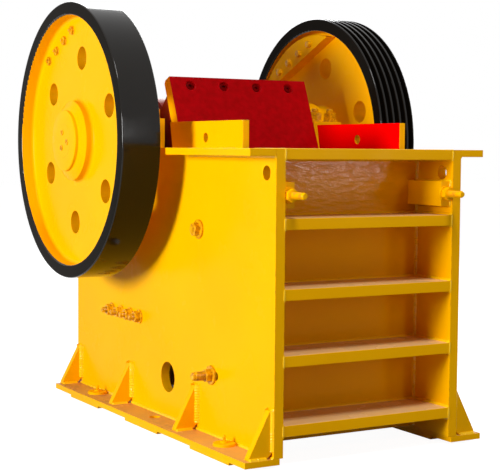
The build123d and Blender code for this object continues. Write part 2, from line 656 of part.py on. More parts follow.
def guard_plate():
    """Plain plate above the teeth, with its bolts countersunk in a row."""
    back = -(JAW_FACE_DIST - GUARD_T)
    plate = prism_x([(-JAW_FACE_DIST, GUARD_BOTTOM), (back, GUARD_BOTTOM), (back, GUARD_TOP - GUARD_BEVEL),
                     (back - GUARD_BEVEL, GUARD_TOP), (-JAW_FACE_DIST, GUARD_TOP)], -JAW_HALF_W, JAW_HALF_W)
    for i in range(GUARD_BOLTS):
        x = (i - (GUARD_BOLTS - 1) / 2) * GUARD_BOLT_PITCH
        sink = Rot(90, 0, 0) * Cone(SINK_FLOOR_D / 2, SINK_D / 2, SINK_DEPTH)
        plate -= Pos(x, -JAW_FACE_DIST + SINK_DEPTH / 2, GUARD_TOP - GUARD_BOLT_DROP) * sink
    return tilted(plate)


def pitman():
    """Eccentric head, wall behind the jaw, upright ribs, and a foot with the toggle's heel."""
    front_low = -(JAW_FACE_DIST - TOOTH_PLATE_T)
    front_high = -(JAW_FACE_DIST - GUARD_T)
    wall_back = front_low + PITMAN_WALL_T
    wall_top = GUARD_TOP - PITMAN_WALL_DROP
    wall = [(front_high, wall_top), (wall_back, wall_top - PITMAN_WALL_SLANT), (wall_back, JAW_BOTTOM),
            (front_low, JAW_BOTTOM), (front_low, GUARD_BOTTOM), (front_high, GUARD_BOTTOM)]
    body = prism_x(wall, -JAW_HALF_W, JAW_HALF_W)
    body += rod_x(PITMAN_HEAD_R, -PITMAN_HALF_W, PITMAN_HALF_W, 0, 0)
    throat = [(front_low, 0), (0, 0), tangent_point(wall_back, -PITMAN_THROAT, PITMAN_HEAD_R),
              (wall_back, -PITMAN_THROAT), (front_low, -PITMAN_THROAT)]
    body += prism_x(throat, -PITMAN_HALF_W, PITMAN_HALF_W)
    toggle_y, toggle_z = to_jaw(*TOGGLE_FRONT)
    foot = (toggle_y - FOOT_AHEAD, toggle_z + FOOT_RISE)
    toe = [(front_low, foot[1]), foot, (toggle_y - TOE_AHEAD, JAW_BOTTOM), (front_low, JAW_BOTTOM)]
    body += prism_x(toe, -PITMAN_HALF_W, PITMAN_HALF_W)
    rib = [(front_low, 0), (0, 0), tangent_point(*foot, PITMAN_HEAD_R), foot, (front_low, foot[1])]
    reach = PITMAN_HALF_W - PITMAN_RIB_T / 2
    for i in range(PITMAN_RIBS):
        x = reach * (2 * i / (PITMAN_RIBS - 1) - 1)
        body += prism_x(rib, x - PITMAN_RIB_T / 2, x + PITMAN_RIB_T / 2)
    heel, slot = pitman_heel()
    lugs, room = rod_lugs()
    bore = rod_x(ECCENTRIC_D / 2 + RUNNING_GAP, -PITMAN_HALF_W, PITMAN_HALF_W, ECC_Y, ECC_Z)
    return (tilted(body) + [heel, lugs]) - [slot, room, bore]


def in_toggle_frame(shape):
    """Places a shape built about the toggle's front axis, its length along +Y."""
    return Pos(0, *TOGGLE_FRONT) * Rot(TOGGLE_TILT, 0, 0) * shape


def pitman_heel():
    """The pitman's heel and the slot in it, which leaves the toggle the jaw's travel."""
    half = TOGGLE_T / 2
    half_w = TOGGLE_W / 2 + HEEL_SIDE
    floor = -(half + orbit_reach(TOGGLE_TILT) + ORBIT_GAP)
    low = -(half + orbit_reach(TOGGLE_TILT + 90) + ORBIT_GAP)
    high = half + orbit_reach(TOGGLE_TILT - 90) + ORBIT_GAP
    heel = block(-half_w, half_w, floor - HEEL_BODY, HEEL_COVER, low - HEEL_LIP_T, high + HEEL_LIP_T)
    slot = block(-half_w, half_w, floor, TOGGLE_LENGTH, low, high)
    return in_toggle_frame(heel), in_toggle_frame(slot)


def rod_lugs():
    """Two lugs that hold the tension rod's pin, and the gap between them."""
    span = EYE_W / 2 + SIDE_PLAY + LUG_T
    lugs = rod_x(LUG_R, -span, span, PIN_AXIS_Y, PIN_AXIS_Z)
    lugs += block(-span, span, PIN_AXIS_Y - 2 * LUG_R, PIN_AXIS_Y, PIN_AXIS_Z - LUG_R, PIN_AXIS_Z + LUG_R)
    gap = EYE_W / 2 + SIDE_PLAY
    room = rod_x(EYE_R + SIDE_PLAY, -gap, gap, PIN_AXIS_Y, PIN_AXIS_Z)
    room += block(-gap, gap, PIN_AXIS_Y, PIN_AXIS_Y + 3 * LUG_R,
                  PIN_AXIS_Z - EYE_R - SIDE_PLAY, PIN_AXIS_Z + EYE_R + SIDE_PLAY)
    return lugs, room + rod_pin()


def rod_pin():
    return rod_x(PIN_D / 2, -PIN_HALF_L, PIN_HALF_L, PIN_AXIS_Y, PIN_AXIS_Z)


def toggle_plate():
    body = block(-TOGGLE_W / 2, TOGGLE_W / 2, 0, TOGGLE_LENGTH, -TOGGLE_T / 2, TOGGLE_T / 2)
    for y in (0, TOGGLE_LENGTH):
        body += rod_x(TOGGLE_T / 2, -TOGGLE_W / 2, TOGGLE_W / 2, y, 0)
    return in_toggle_frame(body)


def toggle_seat():
    """Sliding block that carries the toggle's rear end between two guide bars."""
    half_w = HALF_IN - SIDE_PLAY
    seat = block(-half_w, half_w, SEAT_FRONT_Y, SEAT_BACK_Y,
                 TOGGLE_REAR[1] - SEAT_HALF_H, TOGGLE_REAR[1] + SEAT_HALF_H)
    cup = rod_x(TOGGLE_T / 2, -half_w, half_w, *TOGGLE_REAR)
    reach = 2 * SEAT_LIP
    rise = TOGGLE_T / 2 + reach * tan(radians(SEAT_MOUTH))
    mouth = prism_x([(0, TOGGLE_T / 2), (-reach, rise), (-reach, -rise), (0, -TOGGLE_T / 2)],
                    -half_w, half_w)
    seat -= [cup, Pos(0, *TOGGLE_REAR) * Rot(TOGGLE_TILT, 0, 0) * mouth]
    for _, sign in SIDES:
        inner = HALF_IN - GUIDE_T - GUIDE_GAP
        seat -= block(sign * inner, sign * half_w, SEAT_FRONT_Y, SEAT_BACK_Y,
                      GUIDE_AXIS_Z - GUIDE_H / 2 - GUIDE_GAP, GUIDE_AXIS_Z + GUIDE_H / 2 + GUIDE_GAP)
    return seat


def seat_guide(sign):
    inner, outer = sign * (HALF_IN - GUIDE_T), sign * HALF_IN
    bar = block(inner, outer, SEAT_FRONT_Y, REAR_WALL_Y,
                GUIDE_AXIS_Z - GUIDE_H / 2, GUIDE_AXIS_Z + GUIDE_H / 2)
    return bar - [rod_x(GUIDE_BOLT_D / 2, inner, outer, y, GUIDE_AXIS_Z) for y in guide_bolt_ys()]


def shim_pack():
    half_w = HALF_IN - GUIDE_T - SIDE_PLAY
    return block(-half_w, half_w, SEAT_BACK_Y, REAR_WALL_Y,
                 TOGGLE_REAR[1] - SEAT_HALF_H, TOGGLE_REAR[1] + SEAT_HALF_H)


def bolt_through_side(sign, y, z, diameter, inner_x, stands_out, washer_d, washer_t):
    """A stud along X with a washer and a nut on the outside of a side plate."""
    shank = rod_x(diameter / 2, sign * inner_x, sign * (HALF_OUT + stands_out), y, z)
    washer = rod_x(washer_d / 2, sign * HALF_OUT, sign * (HALF_OUT + washer_t), y, z)
    hexagon = nut(diameter * NUT_AF_RATIO, diameter * NUT_H_RATIO)
    return shank + washer + Pos(sign * (HALF_OUT + washer_t), y, z) * Rot(0, 90 * sign, 0) * hexagon


def guide_bolts(sign):
    return [bolt_through_side(sign, y, GUIDE_AXIS_Z, GUIDE_BOLT_D, HALF_IN - GUIDE_T,
                              GUIDE_BOLT_OUT, GUIDE_WASHER_D, GUIDE_WASHER_T)
            for y in guide_bolt_ys()]


def liner_bolts(sign):
    """Upper and lower stud of a cheek plate."""
    return [bolt_through_side(sign, CHEEK_FRONT_Y + back, UNDER_Z + height, LINER_BOLT_D, CHEEK_X,
                              LINER_WASHER_T + out, LINER_WASHER_D, LINER_WASHER_T)
            for back, height, out in ((UPPER_LINER_BACK, UPPER_LINER_Z, UPPER_LINER_OUT),
                                      (LOWER_LINER_BACK, LOWER_LINER_Z, LOWER_LINER_OUT))]


def tension_rod():
    """Eye, rod, spring plate and nuts, in one line from the pin to the rear."""
    plate_at = SPRING_START + SEAT_CLEAR + SPRING_LENGTH + ORBIT_FRONT + ORBIT_GAP
    nuts_at = plate_at + SPRING_PLATE_T
    rod = rod_x(EYE_R, -EYE_W / 2, EYE_W / 2, 0, 0) - rod_x(PIN_D / 2, -EYE_W / 2, EYE_W / 2, 0, 0)
    rod += rod_y(ROD_D / 2, 0, EYE_R - ROD_IN_EYE, nuts_at + ROD_END, 0)
    rod += rod_y(SPRING_R + SPRING_WIRE_D / 2, 0, plate_at, nuts_at, 0)
    for i in range(2):
        rod += Pos(0, nuts_at + i * ROD_NUT_PITCH, 0) * Rot(-90, 0, 0) * nut(ROD_NUT_AF, ROD_NUT_H)
    return in_rod_frame(rod)


def tension_spring():
    path = Helix(SPRING_LENGTH / SPRING_TURNS, SPRING_LENGTH - SPRING_WIRE_D, SPRING_R)
    section = Plane(path @ 0, z_dir=path % 0) * Circle(SPRING_WIRE_D / 2)
    coil = sweep(section, path, is_frenet=True)
    start = SPRING_START + SEAT_CLEAR + SPRING_WIRE_D / 2
    return in_rod_frame(Pos(0, start, 0) * Rot(-90, 0, 0) * coil)


def cheek_plate(sign):
    """Side liner: upright front edge, rear edge along the moving jaw."""
    low = UNDER_Z + JAW_BOTTOM_Z
    high = TOP_Z + CHEEK_RISE
    rear_low = jaw_face_y(low) + CHEEK_BEHIND
    rear_high = jaw_face_y(TOP_Z) + CHEEK_BEHIND
    outline = [(CHEEK_FRONT_Y, low), (rear_low, low), (rear_high, TOP_Z),
               (rear_high + CHEEK_RISE * JAW_SLOPE / 2, high), (CHEEK_FRONT_Y, high)]
    plate = prism_x(outline, sign * CHEEK_X, sign * HALF_IN)
    holes = [(CHEEK_HOLE_D, CHEEK_HOLE_BACK, TOP_Z + CHEEK_HOLE_RISE),
             (LINER_BOLT_D, UPPER_LINER_BACK, UNDER_Z + UPPER_LINER_Z),
             (LINER_BOLT_D, LOWER_LINER_BACK, UNDER_Z + LOWER_LINER_Z)]
    return plate - [rod_x(diameter / 2, sign * CHEEK_X, sign * HALF_IN, CHEEK_FRONT_Y + back, z)
                    for diameter, back, z in holes]


def fixed_tooth_plate():
    half_w = CHEEK_X - FIXED_PLATE_GAP
    plate = toothed_plate(half_w, 0, FIXED_PLATE_T, UNDER_Z + FIXED_PLATE_BOTTOM, TOP_Z)
    return Pos(0, WALL_BACK_Y, 0) * Rot(0, 0, 180) * plate


def both(make):
    """The solids of a piece that the machine has on its left and on its right."""
    solids = []
    for _, sign in SIDES:
        made = make(sign)
        solids += made if isinstance(made, list) else [made]
    return solids


def frame_parts():
    parts = {}
    for name, sign in SIDES:
        parts["side_plate_" + name] = side_plate(sign)
        parts["top_flange_" + name] = top_flange(sign)
        parts["base_flange_" + name] = base_flange(sign)
        parts["clamp_block_" + name] = clamp_block(sign)
        parts["bearing_seat_" + name] = bearing_seat(sign)
        parts["bearing_cap_" + name] = bearing_cap(sign)
        parts["bearing_" + name] = bearing(sign)
        parts["cheek_plate_" + name] = cheek_plate(sign)
        parts["seat_guide_" + name] = seat_guide(sign)
    parts["base_pads"] = both(base_pads)
    parts["gussets"] = both(gussets)
    parts["seat_gussets"] = both(seat_gussets)
    parts["clamp_bolts"] = both(clamp_bolt)
    parts["cap_bolts"] = both(cap_bolts)
    parts["guide_bolts"] = both(guide_bolts)
    parts["liner_bolts"] = both(liner_bolts)
    parts["front_wall"] = front_wall()
    for i, top in enumerate(front_rib_tops()):
        parts["front_rib_%d" % (i + 1)] = front_rib(top, RIB_T if i else TOP_RIB_T)
    parts["rear_wall"] = rear_wall()
    for i, top in enumerate(rear_rib_tops()):
        parts["rear_rib_%d" % (i + 1)] = rear_rib(top)
    parts["fixed_tooth_plate"] = fixed_tooth_plate()
    parts["toggle_seat"] = toggle_seat()
    parts["shim_pack"] = shim_pack()
    parts["toggle_plate"] = toggle_plate()
    parts["tension_spring"] = tension_spring()
    return parts


def rotor_parts():
    return {
        "eccentric_shaft": eccentric_shaft(),
        "flywheel": wheel(-1, FLYWHEEL_R, FLYWHEEL_W, FLYWHEEL_WEB_X, []),
        "belt_sheave": wheel(1, SHEAVE_R, SHEAVE_W, SHEAVE_WEB_X, belt_grooves()),
        "flywheel_counterweight": counterweight(-1, FLYWHEEL_R, FLYWHEEL_WEB_X),
        "sheave_counterweight": counterweight(1, SHEAVE_R, SHEAVE_WEB_X),
        "shaft_end_caps": shaft_end_caps(),
    }


def jaw_parts():
    return {
        "pitman": pitman(),
        "guard_plate": guard_plate(),
        "swing_tooth_plate": swing_tooth_plate(),
        "tension_rod": tension_rod(),
        "rod_pin": rod_pin(),
    }


def main():
    os.makedirs("parts", exist_ok=True)
    for group in (frame_parts(), rotor_parts(), jaw_parts()):
        for name, shape in group.items():
            solid = Compound(children=shape) if isinstance(shape, list) else shape
            export_step(solid, "parts/%s.step" % name)


main()
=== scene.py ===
from collections import namedtuple
import json
import math
import random

import bmesh
import bpy
from mathutils import Matrix, Vector


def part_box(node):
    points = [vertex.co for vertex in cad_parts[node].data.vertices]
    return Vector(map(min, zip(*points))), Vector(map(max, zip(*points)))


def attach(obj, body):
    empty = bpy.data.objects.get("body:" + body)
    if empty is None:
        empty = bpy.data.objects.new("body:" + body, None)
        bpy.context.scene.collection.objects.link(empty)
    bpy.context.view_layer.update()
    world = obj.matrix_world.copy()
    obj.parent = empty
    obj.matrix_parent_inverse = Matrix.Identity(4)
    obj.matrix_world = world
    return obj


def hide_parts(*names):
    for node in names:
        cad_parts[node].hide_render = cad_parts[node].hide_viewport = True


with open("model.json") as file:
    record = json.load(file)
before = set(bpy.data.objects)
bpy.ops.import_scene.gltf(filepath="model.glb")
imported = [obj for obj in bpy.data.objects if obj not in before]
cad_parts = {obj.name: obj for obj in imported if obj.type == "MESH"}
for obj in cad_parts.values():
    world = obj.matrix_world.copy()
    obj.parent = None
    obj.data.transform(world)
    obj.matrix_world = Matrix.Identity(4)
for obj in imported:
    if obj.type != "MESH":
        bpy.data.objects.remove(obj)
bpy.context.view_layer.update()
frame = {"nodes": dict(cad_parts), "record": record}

# Jaw crusher. Metres, +Z up, front wall towards -Y, flywheel at -X, belt sheave at +X.

NODES = frame["nodes"]
X, Y, Z = Vector((1, 0, 0)), Vector((0, 1, 0)), Vector((0, 0, 1))
SIDES = (("left", -1), ("right", 1))

# Photograph
IMAGE_WIDTH_PX = 500
FOCAL_PX = 1312.86
SENSOR_MM = 36.0
CAMERA_AT = Vector((-2.47193, -4.25793, 1.00537))
CAMERA_YAW = math.radians(30.016)      # from +Y towards +X
CAMERA_PITCH = math.radians(3.797)     # downwards
CAMERA_ROLL = math.radians(0.45)
VIEW_REACH = 100.0

# Sizes and names that part.py has too
SHAFT_Y, SHAFT_Z = 0.334096, 1.032
RIM_T = 0.048
WHEEL_RADIUS = {"flywheel": 0.512, "belt_sheave": 0.508}
WEB_RECESS, WEB_T = 0.053, 0.044
WEB_HOLES, WEB_HOLE_R, WEB_HOLE_PITCH_R = 6, 0.043, 0.308
WEB_HOLE_PHASE = math.radians(36.0)
WEIGHT_ANGLE = math.radians(66.0)      # counterweights, from +Y
END_CAP_R, END_CAP_T, HUB_STEP_R = 0.062, 0.012, 0.113
GUSSET_YS = (-0.747, -0.242, 0.296, 0.792)
GUSSET_T, GUSSET_H, GUSSET_REACH, GUSSET_SNIPE = 0.026, 0.153, 0.085, 0.020
SEAT_GUSSET_SETBACK, SEAT_GUSSET_T, SEAT_GUSSET_DROP = 0.204, 0.024, 0.190
REAR_WALL_T, CHEEK_T = 0.036, 0.024
FRONT_RIBS = ["front_rib_%d" % i for i in range(1, 6)]
REAR_RIBS = ["rear_rib_%d" % i for i in range(1, 4)]
ANCHOR_X = 0.406
ANCHOR_YS = (-0.522, 0.522)            # the middle holes are empty in the photograph
CLAMP_BOLT_X = 0.308
CAP_STUD_MIDDLE, CAP_STUD_HALF_SPREAD = 0.390, 0.035
CAP_STUD_ABOVE_EAR = 0.052
GUIDE_BOLTS, GUIDE_BOLT_PITCH, GUIDE_WASHER_R = 4, 0.084, 0.026
LINER_BOLTS = ((-0.2581, 0.730, 0.022), (-0.3551, 0.237, 0.068))    # y, z, stud past its washer
JAW_TILT = math.radians(22.7)
ECC_Y, ECC_Z = 0.329215, 1.021037
GUARD_FRONT, GUARD_T, GUARD_TOP = 0.294, 0.048, 0.150
GUARD_BOLTS, GUARD_BOLT_PITCH, GUARD_BOLT_DROP = 4, 0.142, 0.035
SINK_DEPTH = 0.010


# Camera

def make_camera():
    yaw, pitch, roll = CAMERA_YAW, CAMERA_PITCH, CAMERA_ROLL
    ahead = Vector((math.sin(yaw) * math.cos(pitch), math.cos(yaw) * math.cos(pitch), -math.sin(pitch)))
    right = Vector((math.cos(yaw), -math.sin(yaw), 0.0))
    up = right.cross(ahead)
    turned_right = math.cos(roll) * right + math.sin(roll) * up
    turned_up = math.cos(roll) * up - math.sin(roll) * right
    data = bpy.data.cameras.new("camera")
    data.sensor_width = SENSOR_MM
    data.lens = SENSOR_MM * FOCAL_PX / IMAGE_WIDTH_PX
    data.clip_end = VIEW_REACH
    camera = bpy.data.objects.new("camera", data)
    axes = Matrix((turned_right, turned_up, -ahead)).transposed().to_4x4()
    camera.matrix_world = Matrix.Translation(CAMERA_AT) @ axes
    bpy.context.scene.collection.objects.link(camera)
    bpy.context.scene.camera = camera


# Lights and world

LAMPS = (                              # name, place, aim, width and height, watts
    ("key", (-6.5, -1.24, 1.64), (-0.3, 0.0, 0.9), (1.5, 1.5), 475.0),
    ("front_high", (-0.6, -3.3, 6.2), (0.0, -0.5, 0.6), (1.6, 1.6), 225.0),
    ("rim_strip", (1.36, -5.2, 2.0), (-0.6, 0.0, 1.0), (0.4, 1.4), 18.0),
    ("front_right", (2.9, -5.0, 1.02), (0.0, -0.7, 0.9), (0.5, 0.3), 12.0),
    ("rear_soft", (2.5, 5.5, 4.0), (0.0, 0.0, 0.8), (3.0, 3.0), 200.0),
    ("right_soft", (6.0, 2.2, 2.4), (0.4, 0.2, 0.8), (2.5, 2.5), 190.0),
)
WORLD_LIGHT = 0.04
WHITE = (1.0, 1.0, 1.0, 1.0)


def area_light(name, at, towards, size, power):
    data = bpy.data.lights.new(name, "AREA")
    data.shape = "RECTANGLE"
    data.size, data.size_y = size
    data.energy = power
    light = bpy.data.objects.new(name, data)
    light.location = at
    light.rotation_euler = (Vector(towards) - Vector(at)).to_track_quat("-Z", "Y").to_euler()
    bpy.context.scene.collection.objects.link(light)


def make_lights():
    """A large softbox straight from the left, and weaker ones from the front, the right and the rear."""
    for lamp in LAMPS:
        area_light(*lamp)


def white_to_rays(tree):
    """One where a ray comes from the camera, a reflection or glass, and nought elsewhere."""
    paths = tree.nodes.new("ShaderNodeLightPath")
    value = paths.outputs["Is Camera Ray"]
    for name in ("Is Glossy Ray", "Is Transmission Ray"):
        either = tree.nodes.new("ShaderNodeMath")
        either.operation = "MAXIMUM"
        tree.links.new(value, either.inputs[0])
        tree.links.new(paths.outputs[name], either.inputs[1])
        value = either.outputs[0]
    return value


def make_world():
    """Dim to the object and white to the eye."""
    world = bpy.data.worlds.new("studio")
    world.use_nodes = True
    tree = world.node_tree
    light = tree.nodes["Background"]
    light.inputs["Color"].default_value = WHITE
    light.inputs["Strength"].default_value = WORLD_LIGHT
    white = tree.nodes.new("ShaderNodeBackground")
    white.inputs["Color"].default_value = WHITE
    white.inputs["Strength"].default_value = 1.0
    mix = tree.nodes.new("ShaderNodeMixShader")
    tree.links.new(white_to_rays(tree), mix.inputs["Fac"])
    tree.links.new(light.outputs[0], mix.inputs[1])
    tree.links.new(white.outputs[0], mix.inputs[2])
    tree.links.new(mix.outputs[0], tree.nodes["World Output"].inputs["Surface"])
    bpy.context.scene.world = world


# Floor

FLOOR_REACH = 30.0
# The dark floor colour is a painted shadow: under the machine's rear the floor takes it and loses its glow.
# The sizes below say how far that painted shadow reaches and where it fades.
FLOOR_PALE, FLOOR_PAINTED_SHADOW = (0.28,) * 3, (0.02,) * 3
FLOOR_GLOW, FLOOR_ROUGHNESS, FLOOR_SPECULAR = 0.95, 0.9, 0.1
PAINTED_SHADOW_AHEAD, PAINTED_SHADOW_BEHIND = 0.25, 0.22    # ahead of the shaft, and behind the rear wall
PAINTED_SHADOW_SOFT_X, PAINTED_SHADOW_SOFT_Y = 0.80, 0.90   # where it begins to fade, of its half width and half length


def painted_shadow_mask(tree):
    """Mask of a painted shadow on the floor: one on the open floor, nought under the machine's rear, seen
    through the access hole.
    """
    (left, _, _), (right, _, _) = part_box("side_plate_left")[0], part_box("side_plate_right")[1]
    front, rear = SHAFT_Y - PAINTED_SHADOW_AHEAD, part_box("rear_wall")[0][1] + REAR_WALL_T + PAINTED_SHADOW_BEHIND
    coordinates = tree.nodes.new("ShaderNodeTexCoord")
    place = tree.nodes.new("ShaderNodeMapping")
    place.vector_type = "TEXTURE"
    place.inputs["Location"].default_value = ((left + right) / 2, (front + rear) / 2, 0.0)
    place.inputs["Scale"].default_value = ((right - left) / 2, (rear - front) / 2, 1.0)
    tree.links.new(coordinates.outputs["Object"], place.inputs["Vector"])
    apart = tree.nodes.new("ShaderNodeSeparateXYZ")
    tree.links.new(place.outputs["Vector"], apart.inputs["Vector"])
    sides = []
    for axis, soft in (("X", PAINTED_SHADOW_SOFT_X), ("Y", PAINTED_SHADOW_SOFT_Y)):
        size = tree.nodes.new("ShaderNodeMath")
        size.operation = "ABSOLUTE"
        tree.links.new(apart.outputs[axis], size.inputs[0])
        sides.append(spread(tree, size.outputs[0], 1.0, 0.0, at=(soft, 1.0)))
    return spread(tree, multiply(tree, *sides), 1.0, 0.0, at=(0.0, 1.0))


def make_floor():
    """A wide pale floor that shows white, but for the soft shadow of the object and a painted shadow under
    the machine's rear.
    """
    reach = FLOOR_REACH
    mesh = bpy.data.meshes.new("floor")
    mesh.from_pydata([(-reach, -reach, 0), (reach, -reach, 0), (reach, reach, 0), (-reach, reach, 0)],
                     [], [(0, 1, 2, 3)])
    floor = bpy.data.objects.new("floor", mesh)
    bpy.context.scene.collection.objects.link(floor)
    material, tree, shader = new_material("floor_white")
    # painted shadow: dark colour and no glow on the floor under the machine's rear
    outside_painted_shadow = painted_shadow_mask(tree)
    tree.links.new(tint(tree, outside_painted_shadow, FLOOR_PAINTED_SHADOW, FLOOR_PALE, at=(0.0, 1.0)), shader.inputs["Base Color"])
    shader.inputs["Roughness"].default_value = FLOOR_ROUGHNESS
    shader.inputs["Specular IOR Level"].default_value = FLOOR_SPECULAR
    glow = tree.nodes.new("ShaderNodeEmission")
    scale = tree.nodes.new("ShaderNodeMath")
    scale.operation = "MULTIPLY"
    scale.inputs[1].default_value = FLOOR_GLOW
    add = tree.nodes.new("ShaderNodeAddShader")
    tree.links.new(white_to_rays(tree), scale.inputs[0])
    tree.links.new(multiply(tree, scale.outputs[0], outside_painted_shadow), glow.inputs["Strength"])
    tree.links.new(shader.outputs[0], add.inputs[0])
    tree.links.new(glow.outputs[0], add.inputs[1])
    tree.links.new(add.outputs[0], tree.nodes["Material Output"].inputs["Surface"])
    mesh.materials.append(material)


# Shader building blocks

EVEN = (1.0, 1.0, 1.0)
NOISE_RANGE = (0.3, 0.7)                # where nearly all of a noise's values lie
EDGE_SAMPLES = 4
EDGE_TURN = (0.90, 0.995)               # cosines between a face and its rounded edge
LEVEL = (0.90, 0.99)                    # upward parts of a normal, from sloping to level


def new_material(name):
    material = bpy.data.materials.new(name)
    material.use_nodes = True
    return material, material.node_tree, material.node_tree.nodes["Principled BSDF"]


def noise(tree, scale, detail=3.0, stretch=EVEN):
    """Noise in the object's own space, which is the machine's."""
    coordinates = tree.nodes.new("ShaderNodeTexCoord")
    mapping = tree.nodes.new("ShaderNodeMapping")
    mapping.inputs["Scale"].default_value = stretch
    texture = tree.nodes.new("ShaderNodeTexNoise")
    texture.inputs["Scale"].default_value = scale
    texture.inputs["Detail"].default_value = detail
    tree.links.new(coordinates.outputs["Object"], mapping.inputs["Vector"])
    tree.links.new(mapping.outputs["Vector"], texture.inputs["Vector"])
    return texture.outputs["Fac"]


def spread(tree, value, low, high, at=NOISE_RANGE):
    """Maps a value to a range, and holds it there."""
    node = tree.nodes.new("ShaderNodeMapRange")
    node.inputs["From Min"].default_value, node.inputs["From Max"].default_value = at
    node.inputs["To Min"].default_value = low
    node.inputs["To Max"].default_value = high
    tree.links.new(value, node.inputs["Value"])
    return node.outputs["Result"]


def tint(tree, value, dark, light, at=NOISE_RANGE):
    ramp = tree.nodes.new("ShaderNodeValToRGB")
    for element, position, colour in zip(ramp.color_ramp.elements, at, (dark, light)):
        element.position = position
        element.color = (*colour, 1.0)
    tree.links.new(value, ramp.inputs["Fac"])
    return ramp.outputs["Color"]


def blend_colour(tree, factor, first, second):
    """First colour where the factor is nought, second where it is one."""
    mix = tree.nodes.new("ShaderNodeMix")
    mix.data_type = "RGBA"
    tree.links.new(factor, mix.inputs["Factor"])
    tree.links.new(first, mix.inputs["A"])
    mix.inputs["B"].default_value = (*second, 1.0)
    return mix.outputs["Result"]


def multiply(tree, first, second):
    node = tree.nodes.new("ShaderNodeMath")
    node.operation = "MULTIPLY"
    tree.links.new(first, node.inputs[0])
    tree.links.new(second, node.inputs[1])
    return node.outputs[0]


def bump(tree, height, strength, distance, under=None):
    node = tree.nodes.new("ShaderNodeBump")
    node.inputs["Strength"].default_value = strength
    node.inputs["Distance"].default_value = distance
    tree.links.new(height, node.inputs["Height"])
    if under:
        tree.links.new(under, node.inputs["Normal"])
    return node.outputs["Normal"]


def near_edge(tree, width):
    """One close to an edge of the surface and nought on its flats."""
    rounded = tree.nodes.new("ShaderNodeBevel")
    rounded.samples = EDGE_SAMPLES
    rounded.inputs["Radius"].default_value = width
    geometry = tree.nodes.new("ShaderNodeNewGeometry")
    dot = tree.nodes.new("ShaderNodeVectorMath")
    dot.operation = "DOT_PRODUCT"
    tree.links.new(rounded.outputs["Normal"], dot.inputs[0])
    tree.links.new(geometry.outputs["Normal"], dot.inputs[1])
    return spread(tree, dot.outputs["Value"], 1.0, 0.0, at=EDGE_TURN)


def facing_up(tree):
    """One on level faces that look up, and nought on the rest."""
    geometry = tree.nodes.new("ShaderNodeNewGeometry")
    apart = tree.nodes.new("ShaderNodeSeparateXYZ")
    tree.links.new(geometry.outputs["Normal"], apart.inputs["Vector"])
    return spread(tree, apart.outputs["Z"], 0.0, 1.0, at=LEVEL)


def above(tree, height, soft, most):
    """A value over a height in metres, nought under it, and a soft step between."""
    coordinates = tree.nodes.new("ShaderNodeTexCoord")
    apart = tree.nodes.new("ShaderNodeSeparateXYZ")
    tree.links.new(coordinates.outputs["Object"], apart.inputs["Vector"])
    return spread(tree, apart.outputs["Z"], 0.0, most, at=(height - soft, height + soft))


# Kinds of finish

GLOSS_GRAIN = 9.0                       # patches of duller and glossier paint
PEEL_GRAIN, PEEL_DEPTH = 240.0, 0.0006
RIPPLE_GRAIN, RIPPLE_DEPTH, RIPPLE_STRETCH = 40.0, 0.006, (0.5, 1.0, 1.6)
RIPPLE_SOFT = 0.008
COAT_RISE, COAT_SOFT, COAT_MOST, COAT_ROUGHNESS = 0.123, 0.065, 0.30, 0.10
PALE_TOP_GRAIN, PALE_TOP_COVER = 14.0, (0.65, 0.90)
CHIP_GRAIN, CHIP_COVER, CHIP_RANGE, CHIP_WIDTH = 34.0, 0.75, (0.50, 0.62), 0.004


def paint(name, dark, light, roughness=(0.20, 0.30), peel=0.03, waves=0.0, wear=None, specular=0.02,
          pale_top=None, grain=2.4, brushed_above=None):
    """Gloss paint: faint tone drift, uneven gloss and orange peel, and what else is asked for.

    wear is the colour of chipped edges, pale_top that of patches on level faces that look up, and waves the
    strength of ripples.
    Ripples lie only above the height brushed_above where it is given, with a glossier coat higher up.
    """
    material, tree, shader = new_material(name)
    colour = tint(tree, noise(tree, grain, detail=2.0), dark, light)
    # pale patches on level upward faces: a pale tan on the base flanges, and on the ribs dust together with a
    # painted reflection of the bright surroundings seen at a grazing angle
    if pale_top:
        patches = spread(tree, noise(tree, PALE_TOP_GRAIN, detail=5.0), *PALE_TOP_COVER)
        colour = blend_colour(tree, multiply(tree, facing_up(tree), patches), colour, pale_top)
    if wear:
        chips = spread(tree, noise(tree, CHIP_GRAIN, detail=6.0), 0.0, CHIP_COVER, at=CHIP_RANGE)
        colour = blend_colour(tree, multiply(tree, near_edge(tree, CHIP_WIDTH), chips), colour, wear)
    tree.links.new(colour, shader.inputs["Base Color"])
    tree.links.new(spread(tree, noise(tree, GLOSS_GRAIN), *roughness), shader.inputs["Roughness"])
    shader.inputs["Specular IOR Level"].default_value = specular
    normal = bump(tree, noise(tree, PEEL_GRAIN, detail=2.0), peel, PEEL_DEPTH)
    if waves:
        ripple = noise(tree, RIPPLE_GRAIN, stretch=RIPPLE_STRETCH)
        if brushed_above is not None:
            ripple = multiply(tree, ripple, above(tree, brushed_above, RIPPLE_SOFT, 1.0))
        normal = bump(tree, ripple, waves, RIPPLE_DEPTH, normal)
    tree.links.new(normal, shader.inputs["Normal"])
    if brushed_above is not None:
        coat = above(tree, brushed_above + COAT_RISE, COAT_SOFT, COAT_MOST)
        tree.links.new(coat, shader.inputs["Coat Weight"])
        tree.links.new(normal, shader.inputs["Coat Normal"])
        shader.inputs["Coat Roughness"].default_value = COAT_ROUGHNESS
    return material


METAL_GLOSS_GRAIN = 35.0
METAL_RELIEF_GRAIN, METAL_RELIEF_DEPTH = 300.0, 0.0005


